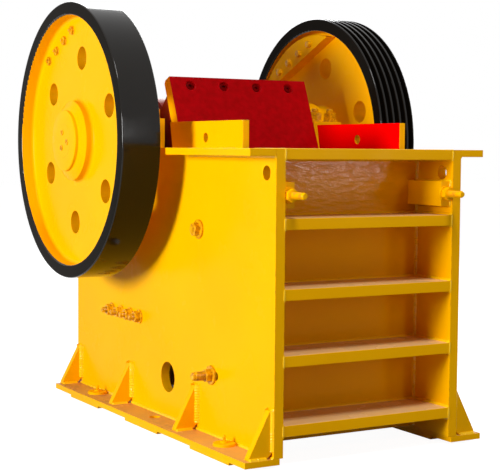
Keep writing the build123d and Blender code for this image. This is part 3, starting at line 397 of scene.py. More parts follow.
def metal(name, dark, light, roughness, grain=60.0, stretch=EVEN, relief=0.12):
    """Bare metal with its grain in colour, gloss and relief."""
    material, tree, shader = new_material(name)
    colour = tint(tree, noise(tree, grain, stretch=stretch), dark, light)
    tree.links.new(colour, shader.inputs["Base Color"])
    gloss = noise(tree, METAL_GLOSS_GRAIN, stretch=stretch)
    tree.links.new(spread(tree, gloss, *roughness), shader.inputs["Roughness"])
    shader.inputs["Metallic"].default_value = 1.0
    rough = noise(tree, METAL_RELIEF_GRAIN, stretch=stretch)
    tree.links.new(bump(tree, rough, relief, METAL_RELIEF_DEPTH), shader.inputs["Normal"])
    return material


WAVE_SCALE = 0.31416 / 2.0              # of the wave texture, for a pitch of one metre
SHIM_GRAIN, SHIM_GLOSS_GRAIN, SHIM_ROUGHNESS = 30.0, 20.0, (0.35, 0.55)
SHIM_RELIEF, SHIM_DEPTH = 0.6, 0.002


def layered(name, dark, light, pitch):
    """Thin steel plates stacked along Y."""
    material, tree, shader = new_material(name)
    coordinates = tree.nodes.new("ShaderNodeTexCoord")
    wave = tree.nodes.new("ShaderNodeTexWave")
    wave.bands_direction = "Y"
    wave.wave_profile = "SAW"
    wave.inputs["Scale"].default_value = WAVE_SCALE / pitch
    tree.links.new(coordinates.outputs["Object"], wave.inputs["Vector"])
    tree.links.new(tint(tree, noise(tree, SHIM_GRAIN), dark, light), shader.inputs["Base Color"])
    gloss = noise(tree, SHIM_GLOSS_GRAIN)
    tree.links.new(spread(tree, gloss, *SHIM_ROUGHNESS), shader.inputs["Roughness"])
    shader.inputs["Metallic"].default_value = 1.0
    tree.links.new(bump(tree, wave.outputs["Fac"], SHIM_RELIEF, SHIM_DEPTH), shader.inputs["Normal"])
    return material


# Materials

YELLOW_DARK, YELLOW_LIGHT = (0.93, 0.44, 0.0), (0.96, 0.475, 0.0)
# The walls' yellow is a little darker and more orange than the rest: painted shade at the backs of the ribbed
# cells.
WALL_DARK, WALL_LIGHT = (0.88, 0.39, 0.0), (0.92, 0.43, 0.0)
# The weld beads' yellow is lighter than the paint round them: a painted highlight, for the light that the
# rippled beads catch.
BEAD_DARK, BEAD_LIGHT = (0.94, 0.52, 0.0), (0.97, 0.57, 0.01)
# Darker tone of the bolt paint: grime, together with painted shade that stands for the shade on the flanks
# and in the recesses of nuts and screws.
BOLT_GRIME_AND_SHADE = (0.50, 0.19, 0.004)
UNDERCOAT = (0.55, 0.20, 0.02)
# Pale colours of level upward faces: a tan on the base flanges, and on the ribs dust together with a painted
# reflection, which is why the rib colour is so pale.
FLANGE_PALE_TOP, RIB_DUST_AND_REFLECTION = (0.58, 0.30, 0.10), (0.78, 0.52, 0.27)
GUARD_DARK, GUARD_LIGHT, GUARD_WORN = (0.41, 0.0, 0.001), (0.53, 0.0, 0.003), (0.12, 0.0, 0.0)
# The guard screws are a much darker red than the guard plate: painted shade, standing for the shade in their
# countersinks.
SCREW_DARK, SCREW_LIGHT = (0.10, 0.0, 0.0), (0.24, 0.0, 0.001)
CHEEK_DARK, CHEEK_LIGHT = (0.94, 0.0, 0.0), (0.98, 0.0, 0.0)
OXIDE_DARK, OXIDE_LIGHT = (0.22, 0.010, 0.004), (0.28, 0.016, 0.006)
BLACK_DARK, BLACK_LIGHT = (0.004, 0.003, 0.002), (0.007, 0.005, 0.003)
RIB_2_Z = sum(corner[2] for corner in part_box("front_rib_2")) / 2

YELLOW = paint("yellow_paint", YELLOW_DARK, YELLOW_LIGHT, wear=UNDERCOAT)
YELLOW_BRUSHED = paint("yellow_brushed", WALL_DARK, WALL_LIGHT, roughness=(0.10, 0.16), peel=0.05, waves=0.40,
                       specular=0.03, brushed_above=RIB_2_Z)
YELLOW_CAST = paint("yellow_cast", YELLOW_DARK, YELLOW_LIGHT, peel=0.05, waves=0.02)
# bolt paint in patches of grime and painted shade
YELLOW_BOLT = paint("yellow_bolt", BOLT_GRIME_AND_SHADE, YELLOW_LIGHT, peel=0.2, specular=0.12, grain=95.0)
YELLOW_FLANGE = paint("yellow_flange_pale_top", YELLOW_DARK, YELLOW_LIGHT, pale_top=FLANGE_PALE_TOP)
YELLOW_RIB = paint("yellow_rib_dust_and_reflection", YELLOW_DARK, YELLOW_LIGHT, pale_top=RIB_DUST_AND_REFLECTION)
YELLOW_WELD = paint("yellow_weld", BEAD_DARK, BEAD_LIGHT, roughness=(0.16, 0.26), peel=0.2, specular=0.2)
RED = paint("red_paint", GUARD_DARK, GUARD_LIGHT, roughness=(0.30, 0.42), peel=0.12, wear=GUARD_WORN,
            specular=0.05, grain=45.0)
RED_SCREW = paint("red_screw", SCREW_DARK, SCREW_LIGHT, roughness=(0.35, 0.50), peel=0.12, grain=60.0)
BRIGHT_RED = paint("cheek_red", CHEEK_DARK, CHEEK_LIGHT, roughness=(0.28, 0.40))
RED_OXIDE = paint("red_oxide_paint", OXIDE_DARK, OXIDE_LIGHT, roughness=(0.28, 0.42), peel=0.2, waves=0.12,
                  specular=0.05)
BLACK = paint("black_paint", BLACK_DARK, BLACK_LIGHT, roughness=(0.16, 0.24), specular=0.012)
BLACK_GLOSS = paint("black_gloss_paint", BLACK_DARK, BLACK_LIGHT, roughness=(0.08, 0.14), specular=0.25)
STEEL = metal("bare_steel", (0.42, 0.40, 0.36), (0.58, 0.56, 0.52), roughness=(0.26, 0.40))
MACHINED = metal("machined_steel", (0.45, 0.45, 0.45), (0.62, 0.62, 0.61), roughness=(0.16, 0.28),
                 grain=140.0, stretch=(12.0, 1.0, 1.0))
SPRING = metal("spring_steel", (0.03, 0.03, 0.03), (0.06, 0.06, 0.06), roughness=(0.3, 0.45))
MANGANESE = metal("manganese_steel", (0.10, 0.09, 0.08), (0.22, 0.20, 0.18), roughness=(0.40, 0.62),
                  grain=45.0, relief=0.4)
SHIMS = layered("stacked_shims", (0.30, 0.28, 0.25), (0.50, 0.47, 0.43), pitch=0.006)

SLOT_MATERIALS = {
    "yellow_paint": YELLOW,
    "red_paint": RED,
    "red_oxide_paint": RED_OXIDE,
    "cast_wheel": YELLOW_CAST,
    "bare_steel": STEEL,
    "machined_steel": MACHINED,
    "spring_steel": SPRING,
    "manganese_steel": MANGANESE,
    "cast_iron_grey": MANGANESE,
}
NODE_MATERIALS = {
    "front_wall": YELLOW_BRUSHED,
    "rear_wall": YELLOW_BRUSHED,
    "shim_pack": SHIMS,
    "shaft_end_caps": YELLOW_CAST,
    "guard_plate": YELLOW,
    **{"cheek_plate_" + side: YELLOW for side, _ in SIDES},
    **{"bearing_cap_" + side: YELLOW_CAST for side, _ in SIDES},
    **{"bearing_seat_" + side: YELLOW_CAST for side, _ in SIDES},
    **{"base_flange_" + side: YELLOW_FLANGE for side, _ in SIDES},
    **{rib: YELLOW_RIB for rib in FRONT_RIBS + REAR_RIBS},
}


# Nodes of the frame

JAW_FORWARD = Vector((0, -math.cos(JAW_TILT), math.sin(JAW_TILT)))
SHAFT_END = 0.600                       # the shaft is painted beyond this
RIM_SLACK = 0.0012
SQUARE_ON = 0.9                         # least cosine of a face that looks a given way
PARTLY_ON = 0.2                         # the same with slanting faces


def outside_rim(radius):
    """Picks the faces of a wheel that lie on its rim, outside the yellow dish."""
    def pick(points, _normal):
        return max(math.hypot(p.y - SHAFT_Y, p.z - SHAFT_Z) for p in points) > radius - RIM_T + RIM_SLACK
    return pick


def outside_face(radius):
    """Picks the faces round the outside of a wheel's rim, belt grooves included."""
    on_rim = outside_rim(radius)

    def pick(points, normal):
        return abs(normal.x) < SQUARE_ON and on_rim(points, normal)
    return pick


def facing(direction, least=SQUARE_ON):
    def pick(_points, normal):
        return normal.dot(direction) > least
    return pick


def beyond(reach):
    """Picks the faces out near the ends of the shaft."""
    def pick(points, _normal):
        return max(abs(p.x) for p in points) > reach
    return pick


COATS = {                              # node: further materials and the faces that have them
    **{wheel: [(BLACK, outside_rim(radius)), (BLACK_GLOSS, outside_face(radius))]
       for wheel, radius in WHEEL_RADIUS.items()},
    "cheek_plate_left": [(BRIGHT_RED, facing(X))],
    "cheek_plate_right": [(BRIGHT_RED, facing(-X))],
    "guard_plate": [(RED, facing(JAW_FORWARD, PARTLY_ON))],
    "eccentric_shaft": [(YELLOW, beyond(SHAFT_END))],
}

FINE_NODES = ("tension_spring",)        # smooth already, and without edges
NODE_EDGE = 0.0015
EDGES = {"flywheel": 0.0035, "belt_sheave": 0.0035, "shaft_end_caps": 0.0003}
EDGE_SEGMENTS = 2
MERGE_WITHIN = 0.00002
FLAT_ANGLE, EDGE_ANGLE = math.radians(0.5), math.radians(38.0)


def dress(node, material, coats, bevel):
    """A CAD node keeps its shape and gets its materials and slightly rounded edges."""
    piece = NODES[node]
    mesh = piece.data
    mesh.materials.clear()
    mesh.materials.append(material)
    for coat, _ in coats:
        mesh.materials.append(coat)
    if node in FINE_NODES:
        return
    mesh.polygons.foreach_set("use_smooth", [True] * len(mesh.polygons))
    mesh.polygons.foreach_set("material_index", [0] * len(mesh.polygons))
    for polygon in mesh.polygons if coats else ():
        points = [mesh.vertices[i].co for i in polygon.vertices]
        for slot, (_, covers) in enumerate(coats, start=1):
            if covers(points, polygon.normal):
                polygon.material_index = slot
    weld_points = piece.modifiers.new("weld", "WELD")
    weld_points.merge_threshold = MERGE_WITHIN
    flat = piece.modifiers.new("flat", "DECIMATE")
    flat.decimate_type = "DISSOLVE"
    flat.angle_limit = FLAT_ANGLE
    flat.delimit = {"MATERIAL"}
    edge = piece.modifiers.new("edge", "BEVEL")
    edge.width = bevel
    edge.segments = EDGE_SEGMENTS
    edge.limit_method = "ANGLE"
    edge.angle_limit = EDGE_ANGLE
    edge.miter_outer = "MITER_ARC"
    normals = piece.modifiers.new("normals", "WEIGHTED_NORMAL")
    normals.keep_sharp = True


def dress_nodes():
    for entry in frame["record"]["subparts"]:
        node = entry["node"]
        material = NODE_MATERIALS.get(node, SLOT_MATERIALS[entry["material_slot"]])
        dress(node, material, COATS.get(node, ()), EDGES.get(node, NODE_EDGE))


# Pieces built here

SMOOTH_ANGLE = math.radians(35.0)
SINK = 0.0005                           # of a piece into the face that it stands on
TURN, WIDE_TURN = 36, 96                # points round a small and a wide turned piece


class Mould:
    """Gathers points and faces of one piece."""

    def __init__(self):
        self.points, self.faces = [], []

    def ring(self, points):
        first = len(self.points)
        self.points += points
        return list(range(first, first + len(points)))

    def bridge(self, first, second):
        count = len(first)
        for i in range(count):
            j = (i + 1) % count
            self.faces.append((first[i], first[j], second[j], second[i]))

    def skin(self, rings):
        """A closed skin over rings in a row, with both ends capped."""
        for first, second in zip(rings, rings[1:]):
            self.bridge(first, second)
        self.faces.append(tuple(rings[0]))
        self.faces.append(tuple(rings[-1]))

    def piece(self, name, material, body, slot):
        mesh = bpy.data.meshes.new(name)
        mesh.from_pydata([tuple(p) for p in self.points], [], self.faces)
        mesh.materials.append(material)
        shape = bmesh.new()
        shape.from_mesh(mesh)
        bmesh.ops.recalc_face_normals(shape, faces=shape.faces)
        shape.to_mesh(mesh)
        shape.free()
        mesh.polygons.foreach_set("use_smooth", [True] * len(mesh.polygons))
        mesh.set_sharp_from_angle(angle=SMOOTH_ANGLE)
        made = bpy.data.objects.new(name, mesh)
        bpy.context.scene.collection.objects.link(made)
        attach(made, body)
        return made


def across(axis):
    """Two directions square to an axis and to each other."""
    first = axis.orthogonal().normalized()
    return first, axis.cross(first).normalized()


def spoke(u, v, radius, angle):
    return radius * (math.cos(angle) * u + math.sin(angle) * v)


def turned_rings(mould, at, axis, profile, turn):
    """Rings about an axis, one for each (along, radius) point."""
    u, v = across(axis)
    return [mould.ring([at + along * axis + spoke(u, v, radius, 2 * math.pi * i / turn) for i in range(turn)])
            for along, radius in profile]


def turned(mould, at, axis, profile, turn=TURN):
    """A body of revolution from (along, radius) points; its ends are closed."""
    mould.skin(turned_rings(mould, at, axis, profile, turn))


def ring_of(mould, at, axis, loop, turn=WIDE_TURN):
    """A ring turned from a closed loop of (along, radius) points."""
    rings = turned_rings(mould, at, axis, loop, turn)
    for first, second in zip(rings, rings[1:] + rings[:1]):
        mould.bridge(first, second)


# Welds

WELD_STEP = 0.0045                      # from ripple to ripple
WELD_SINK = 0.0006                      # into the faces that it joins
WELD_VALLEY, WELD_END, WELD_UNEVEN = 0.84, 0.55, 0.05    # of the leg
THROAT, SHOULDER_OUT, SHOULDER_IN = 0.64, 1.28, 0.45     # of the leg, then of the throat
SEAM_VALLEY, SEAM_END, SEAM_UNEVEN = 0.8, 0.4, 0.08
SEAM_SHOULDER_OUT, SEAM_SHOULDER_UP = 0.6, 0.8

LONG_LEG, CORNER_LEG, FRAME_LEG, CLAMP_LEG = 0.015, 0.009, 0.008, 0.006
CELL_SEAM_W, OPEN_SEAM_H, TOP_SEAM_H = 0.010, 0.0016, 0.0014
FOOT_SEAM_W, FOOT_SEAM_H = 0.012, 0.0022
FOOT_EDGE = 0.0015
WELD_PAST_GUSSET = 0.006


def dice(start):
    """Chance that is the same each run and differs from bead to bead, seeded by where the bead starts."""
    return random.Random(round(1000 * (start.x + 2 * start.y + 3 * start.z)))


def weld(mould, start, end, a, b, leg):
    """A fillet weld in the corner of two faces whose normals are a and b, from start to end."""
    start, end = Vector(start), Vector(end)
    count = max(2, int((end - start).length / WELD_STEP))
    chance = dice(start)
    rings = []
    for i in range(count + 1):
        at = start.lerp(end, i / count)
        size = leg * WELD_END
        if i not in (0, count):
            size = leg * ((1.0 if i % 2 else WELD_VALLEY) + chance.uniform(-WELD_UNEVEN, WELD_UNEVEN))
        middle = size * THROAT
        rings.append(mould.ring([
            at - WELD_SINK * (a + b),
            at + size * a - WELD_SINK * b,
            at + middle * SHOULDER_OUT * a + middle * SHOULDER_IN * b,
            at + middle * a + middle * b,
            at + middle * SHOULDER_IN * a + middle * SHOULDER_OUT * b,
            at + size * b - WELD_SINK * a,
        ]))
    mould.skin(rings)


def seam(mould, start, end, normal, width, height):
    """A low butt weld on a flat face, from start to end."""
    start, end = Vector(start), Vector(end)
    side = normal.cross((end - start).normalized())
    count = max(2, int((end - start).length / WELD_STEP))
    chance = dice(start)
    rings = []
    for i in range(count + 1):
        at = start.lerp(end, i / count)
        size = SEAM_END
        if i not in (0, count):
            size = (1.0 if i % 2 else SEAM_VALLEY) + chance.uniform(-SEAM_UNEVEN, SEAM_UNEVEN)
        half, rise = size * width / 2, size * height
        shoulder, shoulder_up = SEAM_SHOULDER_OUT * half, SEAM_SHOULDER_UP * rise
        rings.append(mould.ring([
            at - half * side - WELD_SINK * normal,
            at - shoulder * side + shoulder_up * normal,
            at + rise * normal,
            at + shoulder * side + shoulder_up * normal,
            at + half * side - WELD_SINK * normal,
        ]))
    mould.skin(rings)


def half_inside():
    """From the middle of the machine to the inner face of a side plate."""
    return min(abs(corner[0]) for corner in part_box("side_plate_left"))


def half_outside():
    """From the middle of the machine to the outer face of a side plate."""
    return max(abs(corner[0]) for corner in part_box("side_plate_left"))


def outer_welds(name, sign):
    """Beads on the outside of a side plate: gussets, base flange, top flange and housing."""
    plate_low, plate_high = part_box("side_plate_" + name)
    _, flange_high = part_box("base_flange_" + name)
    top_low, top_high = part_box("top_flange_" + name)
    out = sign * X
    x = sign * max(abs(plate_low[0]), abs(plate_high[0]))
    floor_z = flange_high[2]
    mould = Mould()
    for y in GUSSET_YS:
        for way in (-1, 1):
            face = y + way * GUSSET_T / 2
            leg = CORNER_LEG if face < plate_low[1] + GUSSET_T else LONG_LEG
            weld(mould, (x, face, floor_z + GUSSET_SNIPE), (x, face, floor_z + GUSSET_H + WELD_PAST_GUSSET),
                 out, way * Y, leg)
            weld(mould, (x + sign * GUSSET_SNIPE, face, floor_z), (x + sign * GUSSET_REACH, face, floor_z),
                 Z, way * Y, CORNER_LEG)
    weld(mould, (x, plate_low[1], floor_z), (x, flange_high[1], floor_z), out, Z, FRAME_LEG)
    weld(mould, (x, top_low[1], top_low[2]), (x, top_high[1], top_low[2]), out, -Z, FRAME_LEG)
    for setback in (-SEAT_GUSSET_SETBACK, SEAT_GUSSET_SETBACK):
        for way in (-1, 1):
            face = SHAFT_Y + setback + way * SEAT_GUSSET_T / 2
            weld(mould, (x, face, plate_high[2] - SEAT_GUSSET_DROP), (x, face, plate_high[2]),
                 out, way * Y, FRAME_LEG)
    mould.piece("welds_outside_" + name, YELLOW_WELD, "root", "yellow_paint")


def cell_welds(name, wall_face, open_face, ribs, wall_normal, wall_bottom):
    """Beads in the corners of the cells between a wall, its ribs and the side plates."""
    half_in = half_inside()
    mould = Mould()
    top = max(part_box(rib)[1][2] for rib in ribs)
    for rib in ribs:
        low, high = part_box(rib)
        faces = [(low[2], -Z)]
        if high[2] < top:
            faces.append((high[2], Z))
        for z, up in faces:
            weld(mould, (-half_in, wall_face, z), (half_in, wall_face, z), wall_normal, up, FRAME_LEG)
            for _, sign in SIDES:
                weld(mould, (sign * half_in, wall_face, z), (sign * half_in, open_face, z),
                     -sign * X, up, FRAME_LEG)
        for _, sign in SIDES:
            seam(mould, (sign * half_in, open_face, low[2]), (sign * half_in, open_face, high[2]),
                 wall_normal, CELL_SEAM_W, OPEN_SEAM_H)
    for _, sign in SIDES:
        weld(mould, (sign * half_in, wall_face, wall_bottom), (sign * half_in, wall_face, top),
             -sign * X, wall_normal, CORNER_LEG)
        seam(mould, (sign * half_in, open_face, top), (sign * half_in, wall_face, top),
             Z, CELL_SEAM_W, TOP_SEAM_H)
    seam(mould, (-half_in, wall_face, top), (half_in, wall_face, top), Z, CELL_SEAM_W, TOP_SEAM_H)
    mould.piece(name, YELLOW_WELD, "root", "yellow_paint")


def clamp_welds():
    mould = Mould()
    for side, sign in SIDES:
        low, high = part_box("clamp_block_" + side)
        x = sign * max(abs(low[0]), abs(high[0]))
        for z, up in ((low[2], -Z), (high[2], Z)):
            weld(mould, (x, low[1], z), (x, high[1], z), -sign * X, up, CLAMP_LEG)
        weld(mould, (x, low[1], low[2]), (x, low[1], high[2]), -sign * X, -Y, CLAMP_LEG)
    mould.piece("welds_clamp_blocks", YELLOW_WELD, "root", "yellow_paint")


def rear_foot():
    """The plate that carries the rear wall on down to the height where the front wall ends."""
    half_in = half_inside()
    wall_low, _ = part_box("rear_wall")
    near, far = wall_low[1], wall_low[1] + REAR_WALL_T
    bottom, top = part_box("front_wall")[0][2], wall_low[2]
    edge = FOOT_EDGE
    section = [(near + edge, bottom), (far - edge, bottom), (far, bottom + edge), (far, top - edge),
               (far - edge, top), (near + edge, top), (near, top - edge), (near, bottom + edge)]
    plate = Mould()
    plate.skin([plate.ring([Vector((sign * half_in, y, z)) for y, z in section]) for _, sign in SIDES])
    plate.piece("rear_wall_foot", YELLOW, "root", "yellow_paint")
    beads = Mould()
    seam(beads, (-half_in, far, top), (half_in, far, top), Y, FOOT_SEAM_W, FOOT_SEAM_H)
    for _, sign in SIDES:
        weld(beads, (sign * half_in, far, bottom), (sign * half_in, far, top), -sign * X, Y, CORNER_LEG)
    beads.piece("welds_rear_foot", YELLOW_WELD, "root", "yellow_paint")


def make_welds():
    for name, sign in SIDES:
        outer_welds(name, sign)
    side_low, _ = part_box("side_plate_left")
    wall_low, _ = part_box("front_wall")
    cell_welds("welds_front_cells", wall_low[1], side_low[1], FRONT_RIBS, -Y, wall_low[2])
    rib_low, rib_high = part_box(REAR_RIBS[0])
    rear_low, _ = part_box("rear_wall")
    cell_welds("welds_rear_cells", rib_low[1], rib_high[1], REAR_RIBS, Y, rear_low[2])
    clamp_welds()
    rear_foot()


# Bolts and nuts

# A washer's or collar's edge is how far its rim is cut off, along the axis and inwards.
# A nut's stud has a thread that begins hold under the nut's outer face and is free long.
Washer = namedtuple("Washer", "radius height edge sink")
Nut = namedtuple("Nut", "flats height stud free hold", defaults=(0.001,))

ANCHOR_WASHER = Washer(0.038, 0.0095, (0.0015, 0.0015), 0.0004)
ANCHOR_COLLAR = Washer(0.0125, 0.0064, (0.0014, 0.0015), 0.0)
ANCHOR_COLLAR_SINK = 0.0004
ANCHOR_STUD_D, ANCHOR_STUD_L, ANCHOR_STUD_SINK = 0.011, 0.020, 0.001
CLAMP_WASHER = Washer(0.026, 0.005, (0.001, 0.0008), 0.002)
CLAMP_NUT = Nut(flats=0.038, height=0.019, stud=0.024, free=0.069)
CAP_WASHER = Washer(0.028, 0.005, (0.001, 0.001), 0.0004)
CAP_NUT = Nut(flats=0.046, height=0.032, stud=0.030, free=0.016)
GUIDE_WASHER = Washer(GUIDE_WASHER_R, 0.006, (0.0012, 0.001), 0.0004)
GUIDE_NUT = Nut(flats=0.0367, height=0.0192, stud=0.024, free=0.022, hold=0.0012)
LINER_WASHER = Washer(0.033, 0.008, (0.0015, 0.0015), 0.002)
LINER_FLATS, LINER_NUT_H, LINER_STUD_D, LINER_HOLD, LINER_STUD_LEAST = 0.041, 0.020, 0.032, 0.002, 0.004
LINER_SHANK_R, LINER_SHANK_L = 0.0148, 0.050
WEIGHT_NUT = Nut(flats=0.030, height=0.010, stud=0.016, free=0.008)
WEIGHT_HEAD_FLATS, WEIGHT_HEAD_H = 0.026, 0.013
WEIGHT_BOLTS, WEIGHT_BOLT_PITCH = 4, 0.0845
WEIGHT_NUT_X, WEIGHT_NUT_R, WEIGHT_NUT_SHIFT = -0.564, 0.403, -0.011
WEIGHT_HEAD_X, WEIGHT_HEAD_R, WEIGHT_HEAD_SHIFT = 0.469, 0.381, 0.020
GUARD_NUT = Nut(flats=0.030, height=0.013, stud=0.018, free=0.012)

# How far nuts are turned, in radians
CLAMP_SPIN, LINER_SPIN = 0.25, 0.5
CAP_SPIN, CAP_SPIN_ASIDE = 0.4, 9.0     # the other way on the left, and for each metre aside
GUIDE_SPIN, WEIGHT_NUT_SPIN, WEIGHT_HEAD_SPIN, GUARD_SPIN = 0.7, 0.4, 0.5, 0.3    # from one to the next

# Turned heads with a socket, as (along, radius) points
CAP_SCREW = [(-SINK, 0.0105), (0.0024, 0.0105), (0.0032, 0.0097), (0.0032, 0.0070), (0.0002, 0.0066)]
CAP_SCREWS, CAP_SCREW_PITCH_R, CAP_SCREW_PHASE, CAP_SCREW_TURN = 3, 0.033, math.radians(68.0), 24
SUNK_SCREW = [(-0.001, 0.0118), (0.0052, 0.0150), (0.0058, 0.0140), (0.0058, 0.0062), (0.0012, 0.0060)]
SUNK_SCREW_TURN = 30

CROWN = 0.95                            # radius of a nut's outer face, in half flats
CHAMFER_SLOPE = math.tan(math.radians(30.0))
OWN_WASHER = ((-0.0002, 1.18), (0.0014, 1.18), (0.0022, 1.13))    # along, and radius in half flats
HUB_SLACK, HUB_ROUND = 0.0003, 0.003
HUB_ROUND_STEPS = (0, 22.5, 45, 67.5, 90)    # degrees
# Section of a web hole's rim, as (along, outwards) points
WEB_HOLE_RIM = [(-SINK, 0.0), (0.0190, 0.0), (0.0200, 0.0010), (0.0200, 0.0085), (0.0188, 0.0110),
                (0.0165, 0.0120), (0.0040, 0.0125), (0.0012, 0.0140), (-SINK, 0.0170)]
WEB_HOLE_SLACK, WEB_HOLE_TURN = 0.0002, 48

THREAD_TURN = 20                        # points round a thread
PITCH_LEAST, PITCH_PER_D = 0.0018, 0.055
THREAD_DEPTH, CHAMFER_L, CHAMFER_IN = 0.55, 1.1, 0.6    # of the pitch, the pitch and the chamfer


def disc(mould, at, axis, washer):
    along, inwards = washer.edge
    turned(mould, at, axis, [(-washer.sink, washer.radius), (washer.height - along, washer.radius),
                             (washer.height, washer.radius - inwards)])


def hexagon(mould, at, axis, flats, height, spin=0.0, washer=True):
    """A chamfered hexagonal nut or head that stands on a face at a point."""
    u, v = across(axis)
    inner = flats / 2
    crown = CROWN * inner

    def rim(along_of, radius_of):
        points = []
        for i in range(TURN):
            angle = 2 * math.pi * i / TURN
            off = (angle + math.pi / 6) % (math.pi / 3) - math.pi / 6
            corner = inner / math.cos(off)
            points.append(at + along_of(corner) * axis + spoke(u, v, radius_of(corner), angle + spin))
        return mould.ring(points)

    mould.skin([
        rim(lambda corner: 0.0, lambda corner: corner),
        rim(lambda corner: height - (corner - crown) * CHAMFER_SLOPE, lambda corner: corner),
        rim(lambda corner: height, lambda corner: crown),
    ])
    if washer:
        turned(mould, at, axis, [(along, radius * inner) for along, radius in OWN_WASHER])


def thread(mould, at, axis, diameter, length):
    """A screw thread from a point along an axis, with a chamfered end."""
    u, v = across(axis)
    pitch = PITCH_LEAST + PITCH_PER_D * diameter
    outer = diameter / 2
    root = outer - THREAD_DEPTH * pitch
    chamfer = CHAMFER_L * pitch
    end = [(length - chamfer, root), (length, root - CHAMFER_IN * chamfer)]
    steps = max(2, int((length - chamfer) / (pitch / 2)) - 2)
    rings = turned_rings(mould, at, axis, [(0.0, root)], THREAD_TURN)
    for k in range(steps):
        radius = outer if k % 2 else root
        rings.append(mould.ring([
            at + (k + i / THREAD_TURN) * pitch / 2 * axis + spoke(u, v, radius, 2 * math.pi * i / THREAD_TURN)
            for i in range(THREAD_TURN)]))
    rings += turned_rings(mould, at, axis, end, THREAD_TURN)
    mould.skin(rings)


def bolt_end(mould, at, axis, nut, spin, washer=None):
    """A nut with the end of its stud, on a washer of its own or the one given."""
    if washer:
        disc(mould, at, axis, washer)
        at = at + washer.height * axis
    hexagon(mould, at, axis, nut.flats, nut.height, spin, washer=washer is None)
    thread(mould, at + (nut.height - nut.hold) * axis, axis, nut.stud, nut.free)


def anchor_studs():
    """A wide washer with a collar and a thin stud, on the holes that have one in the photograph."""
    mould = Mould()
    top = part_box("base_flange_left")[1][2]
    for _, sign in SIDES:
        for y in ANCHOR_YS:
            at = Vector((sign * ANCHOR_X, y, top))
            disc(mould, at, Z, ANCHOR_WASHER)
            at = at + (ANCHOR_WASHER.height - ANCHOR_COLLAR_SINK) * Z
            disc(mould, at, Z, ANCHOR_COLLAR)
            thread(mould, at + (ANCHOR_COLLAR.height - ANCHOR_STUD_SINK) * Z, Z, ANCHOR_STUD_D, ANCHOR_STUD_L)
    mould.piece("anchor_studs", YELLOW, "root", "yellow_paint")


def clamp_bolt_set():
    mould = Mould()
    for side, sign in SIDES:
        low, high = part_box("clamp_block_" + side)
        at = Vector((sign * CLAMP_BOLT_X, low[1], (low[2] + high[2]) / 2))
        bolt_end(mould, at, -Y, CLAMP_NUT, CLAMP_SPIN, CLAMP_WASHER)
    made = mould.piece("clamp_bolt_set", YELLOW, "root", "yellow_paint")
    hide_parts("clamp_bolts")


def cap_bolt_set():
    mould = Mould()
    ear_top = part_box("cap_bolts")[1][2] - CAP_STUD_ABOVE_EAR
    for _, sign in SIDES:
        for aside in (-CAP_STUD_HALF_SPREAD, CAP_STUD_HALF_SPREAD):
            for setback in (-SEAT_GUSSET_SETBACK, SEAT_GUSSET_SETBACK):
                at = Vector((sign * (CAP_STUD_MIDDLE + aside), SHAFT_Y + setback, ear_top))
                spin = CAP_SPIN * sign + CAP_SPIN_ASIDE * aside
                bolt_end(mould, at, Z, CAP_NUT, spin, CAP_WASHER)
    made = mould.piece("cap_bolt_set", YELLOW_BOLT, "root", "yellow_paint")
    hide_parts("cap_bolts")


def guide_bolt_set():
    mould = Mould()
    low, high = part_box("guide_bolts")
    first_y, z = low[1] + GUIDE_WASHER_R, (low[2] + high[2]) / 2
    for _, sign in SIDES:
        for i in range(GUIDE_BOLTS):
            at = Vector((sign * half_outside(), first_y + GUIDE_BOLT_PITCH * i, z))
            bolt_end(mould, at, sign * X, GUIDE_NUT, GUIDE_SPIN * i, GUIDE_WASHER)
    made = mould.piece("guide_bolt_set", YELLOW_BOLT, "root", "yellow_paint")
    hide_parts("guide_bolts")


def liner_bolt_set():
    """Nuts outside the side plates, and the bolts' shanks through the cheek plates."""
    mould = Mould()
    for _, sign in SIDES:
        for y, z, out in LINER_BOLTS:
            height = min(LINER_NUT_H, out - LINER_STUD_LEAST)
            nut = Nut(LINER_FLATS, height, LINER_STUD_D, out - height + LINER_HOLD, LINER_HOLD)
            outside = Vector((sign * half_outside(), y, z))
            bolt_end(mould, outside, sign * X, nut, LINER_SPIN, LINER_WASHER)
            inside = Vector((sign * (half_inside() - CHEEK_T), y, z))
            turned(mould, inside, sign * X, [(0.0, LINER_SHANK_R), (LINER_SHANK_L, LINER_SHANK_R)])
    made = mould.piece("liner_bolt_set", YELLOW_BOLT, "root", "yellow_paint")
    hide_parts("liner_bolts")


def shaft_axis():
    """The middle of the machine on the axis that the wheels turn about."""
    return SHAFT_Y * Y + SHAFT_Z * Z


def counterweight_bolts():
    """Four bolts along each counterweight's chord, nuts on the flywheel and heads on the sheave."""
    radial = spoke(Y, Z, 1.0, WEIGHT_ANGLE)
    along = X.cross(radial)
    axis_at = shaft_axis()
    mould = Mould()
    for i in range(WEIGHT_BOLTS):
        off = (i - (WEIGHT_BOLTS - 1) / 2) * WEIGHT_BOLT_PITCH
        at = axis_at + WEIGHT_NUT_R * radial + (off + WEIGHT_NUT_SHIFT) * along + WEIGHT_NUT_X * X
        bolt_end(mould, at, -X, WEIGHT_NUT, WEIGHT_NUT_SPIN * i)
        at = axis_at + WEIGHT_HEAD_R * radial + (off + WEIGHT_HEAD_SHIFT) * along + WEIGHT_HEAD_X * X
        hexagon(mould, at, -X, WEIGHT_HEAD_FLATS, WEIGHT_HEAD_H, WEIGHT_HEAD_SPIN * i)
    mould.piece("counterweight_bolts", YELLOW_BOLT, "rotor", "cast_wheel")


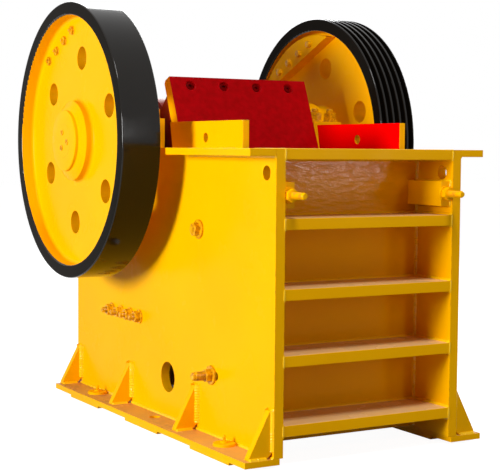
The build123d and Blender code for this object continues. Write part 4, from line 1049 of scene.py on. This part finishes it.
def hub_ends():
    """The raised step round each shaft end, and three socket heads on its cap."""
    screws, steps = Mould(), Mould()
    low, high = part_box("shaft_end_caps")
    top = END_CAP_T - HUB_SLACK
    bore = END_CAP_R + HUB_SLACK
    corner = [(top - HUB_ROUND + HUB_ROUND * math.sin(math.radians(a)),
               HUB_STEP_R - HUB_ROUND + HUB_ROUND * math.cos(math.radians(a))) for a in HUB_ROUND_STEPS]
    for face, way in ((low[0], -1), (high[0], 1)):
        for i in range(CAP_SCREWS):
            angle = CAP_SCREW_PHASE + 2 * math.pi * i / CAP_SCREWS
            at = face * X + shaft_axis() + spoke(Y, Z, CAP_SCREW_PITCH_R, angle)
            turned(screws, at, way * X, CAP_SCREW, CAP_SCREW_TURN)
        hub = (face - way * END_CAP_T) * X + shaft_axis()
        ring_of(steps, hub, way * X, [(-SINK, HUB_STEP_R), *corner, (top, bore), (-SINK, bore)])
    screws.piece("end_cap_screws", YELLOW_BOLT, "rotor", "cast_wheel")
    steps.piece("hub_steps", YELLOW_CAST, "rotor", "cast_wheel")


def web_hole_rims():
    """A raised rim round each hole, on the sheave web's far side, which makes the holes as deep as seen."""
    rims = Mould()
    web_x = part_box("belt_sheave")[0][0] + WEB_RECESS + WEB_T
    hole = WEB_HOLE_R + WEB_HOLE_SLACK
    for i in range(WEB_HOLES):
        angle = WEB_HOLE_PHASE + 2 * math.pi * i / WEB_HOLES
        at = web_x * X + shaft_axis() + spoke(Y, Z, WEB_HOLE_PITCH_R, angle)
        ring_of(rims, at, X, [(along, hole + outwards) for along, outwards in WEB_HOLE_RIM], WEB_HOLE_TURN)
    rims.piece("web_hole_rims", YELLOW_CAST, "rotor", "cast_wheel")


def guard_point(x, back, up):
    """A point given in the moving jaw's own upright frame."""
    return Vector((x, ECC_Y + back * math.cos(JAW_TILT) + up * math.sin(JAW_TILT),
                   ECC_Z - back * math.sin(JAW_TILT) + up * math.cos(JAW_TILT)))


def guard_bolts():
    """Countersunk socket screws through the guard plate, with their nuts behind it."""
    front, rear = Mould(), Mould()
    out = guard_point(0, -1, 0) - guard_point(0, 0, 0)
    for i in range(GUARD_BOLTS):
        x = (i - (GUARD_BOLTS - 1) / 2) * GUARD_BOLT_PITCH
        up = GUARD_TOP - GUARD_BOLT_DROP
        turned(front, guard_point(x, -GUARD_FRONT + SINK_DEPTH, up), out, SUNK_SCREW, SUNK_SCREW_TURN)
        bolt_end(rear, guard_point(x, -GUARD_FRONT + GUARD_T, up), -out, GUARD_NUT, GUARD_SPIN * i)
    front.piece("guard_screws", RED_SCREW, "swing_jaw", "red_paint")
    rear.piece("guard_nuts", YELLOW_BOLT, "swing_jaw", "yellow_paint")


def make_bolts():
    anchor_studs()
    clamp_bolt_set()
    cap_bolt_set()
    guide_bolt_set()
    liner_bolt_set()
    counterweight_bolts()
    hub_ends()
    web_hole_rims()
    guard_bolts()


bpy.context.scene.view_settings.view_transform = "Standard"
make_camera()
make_world()
make_lights()
make_floor()
make_welds()
make_bolts()
dress_nodes()
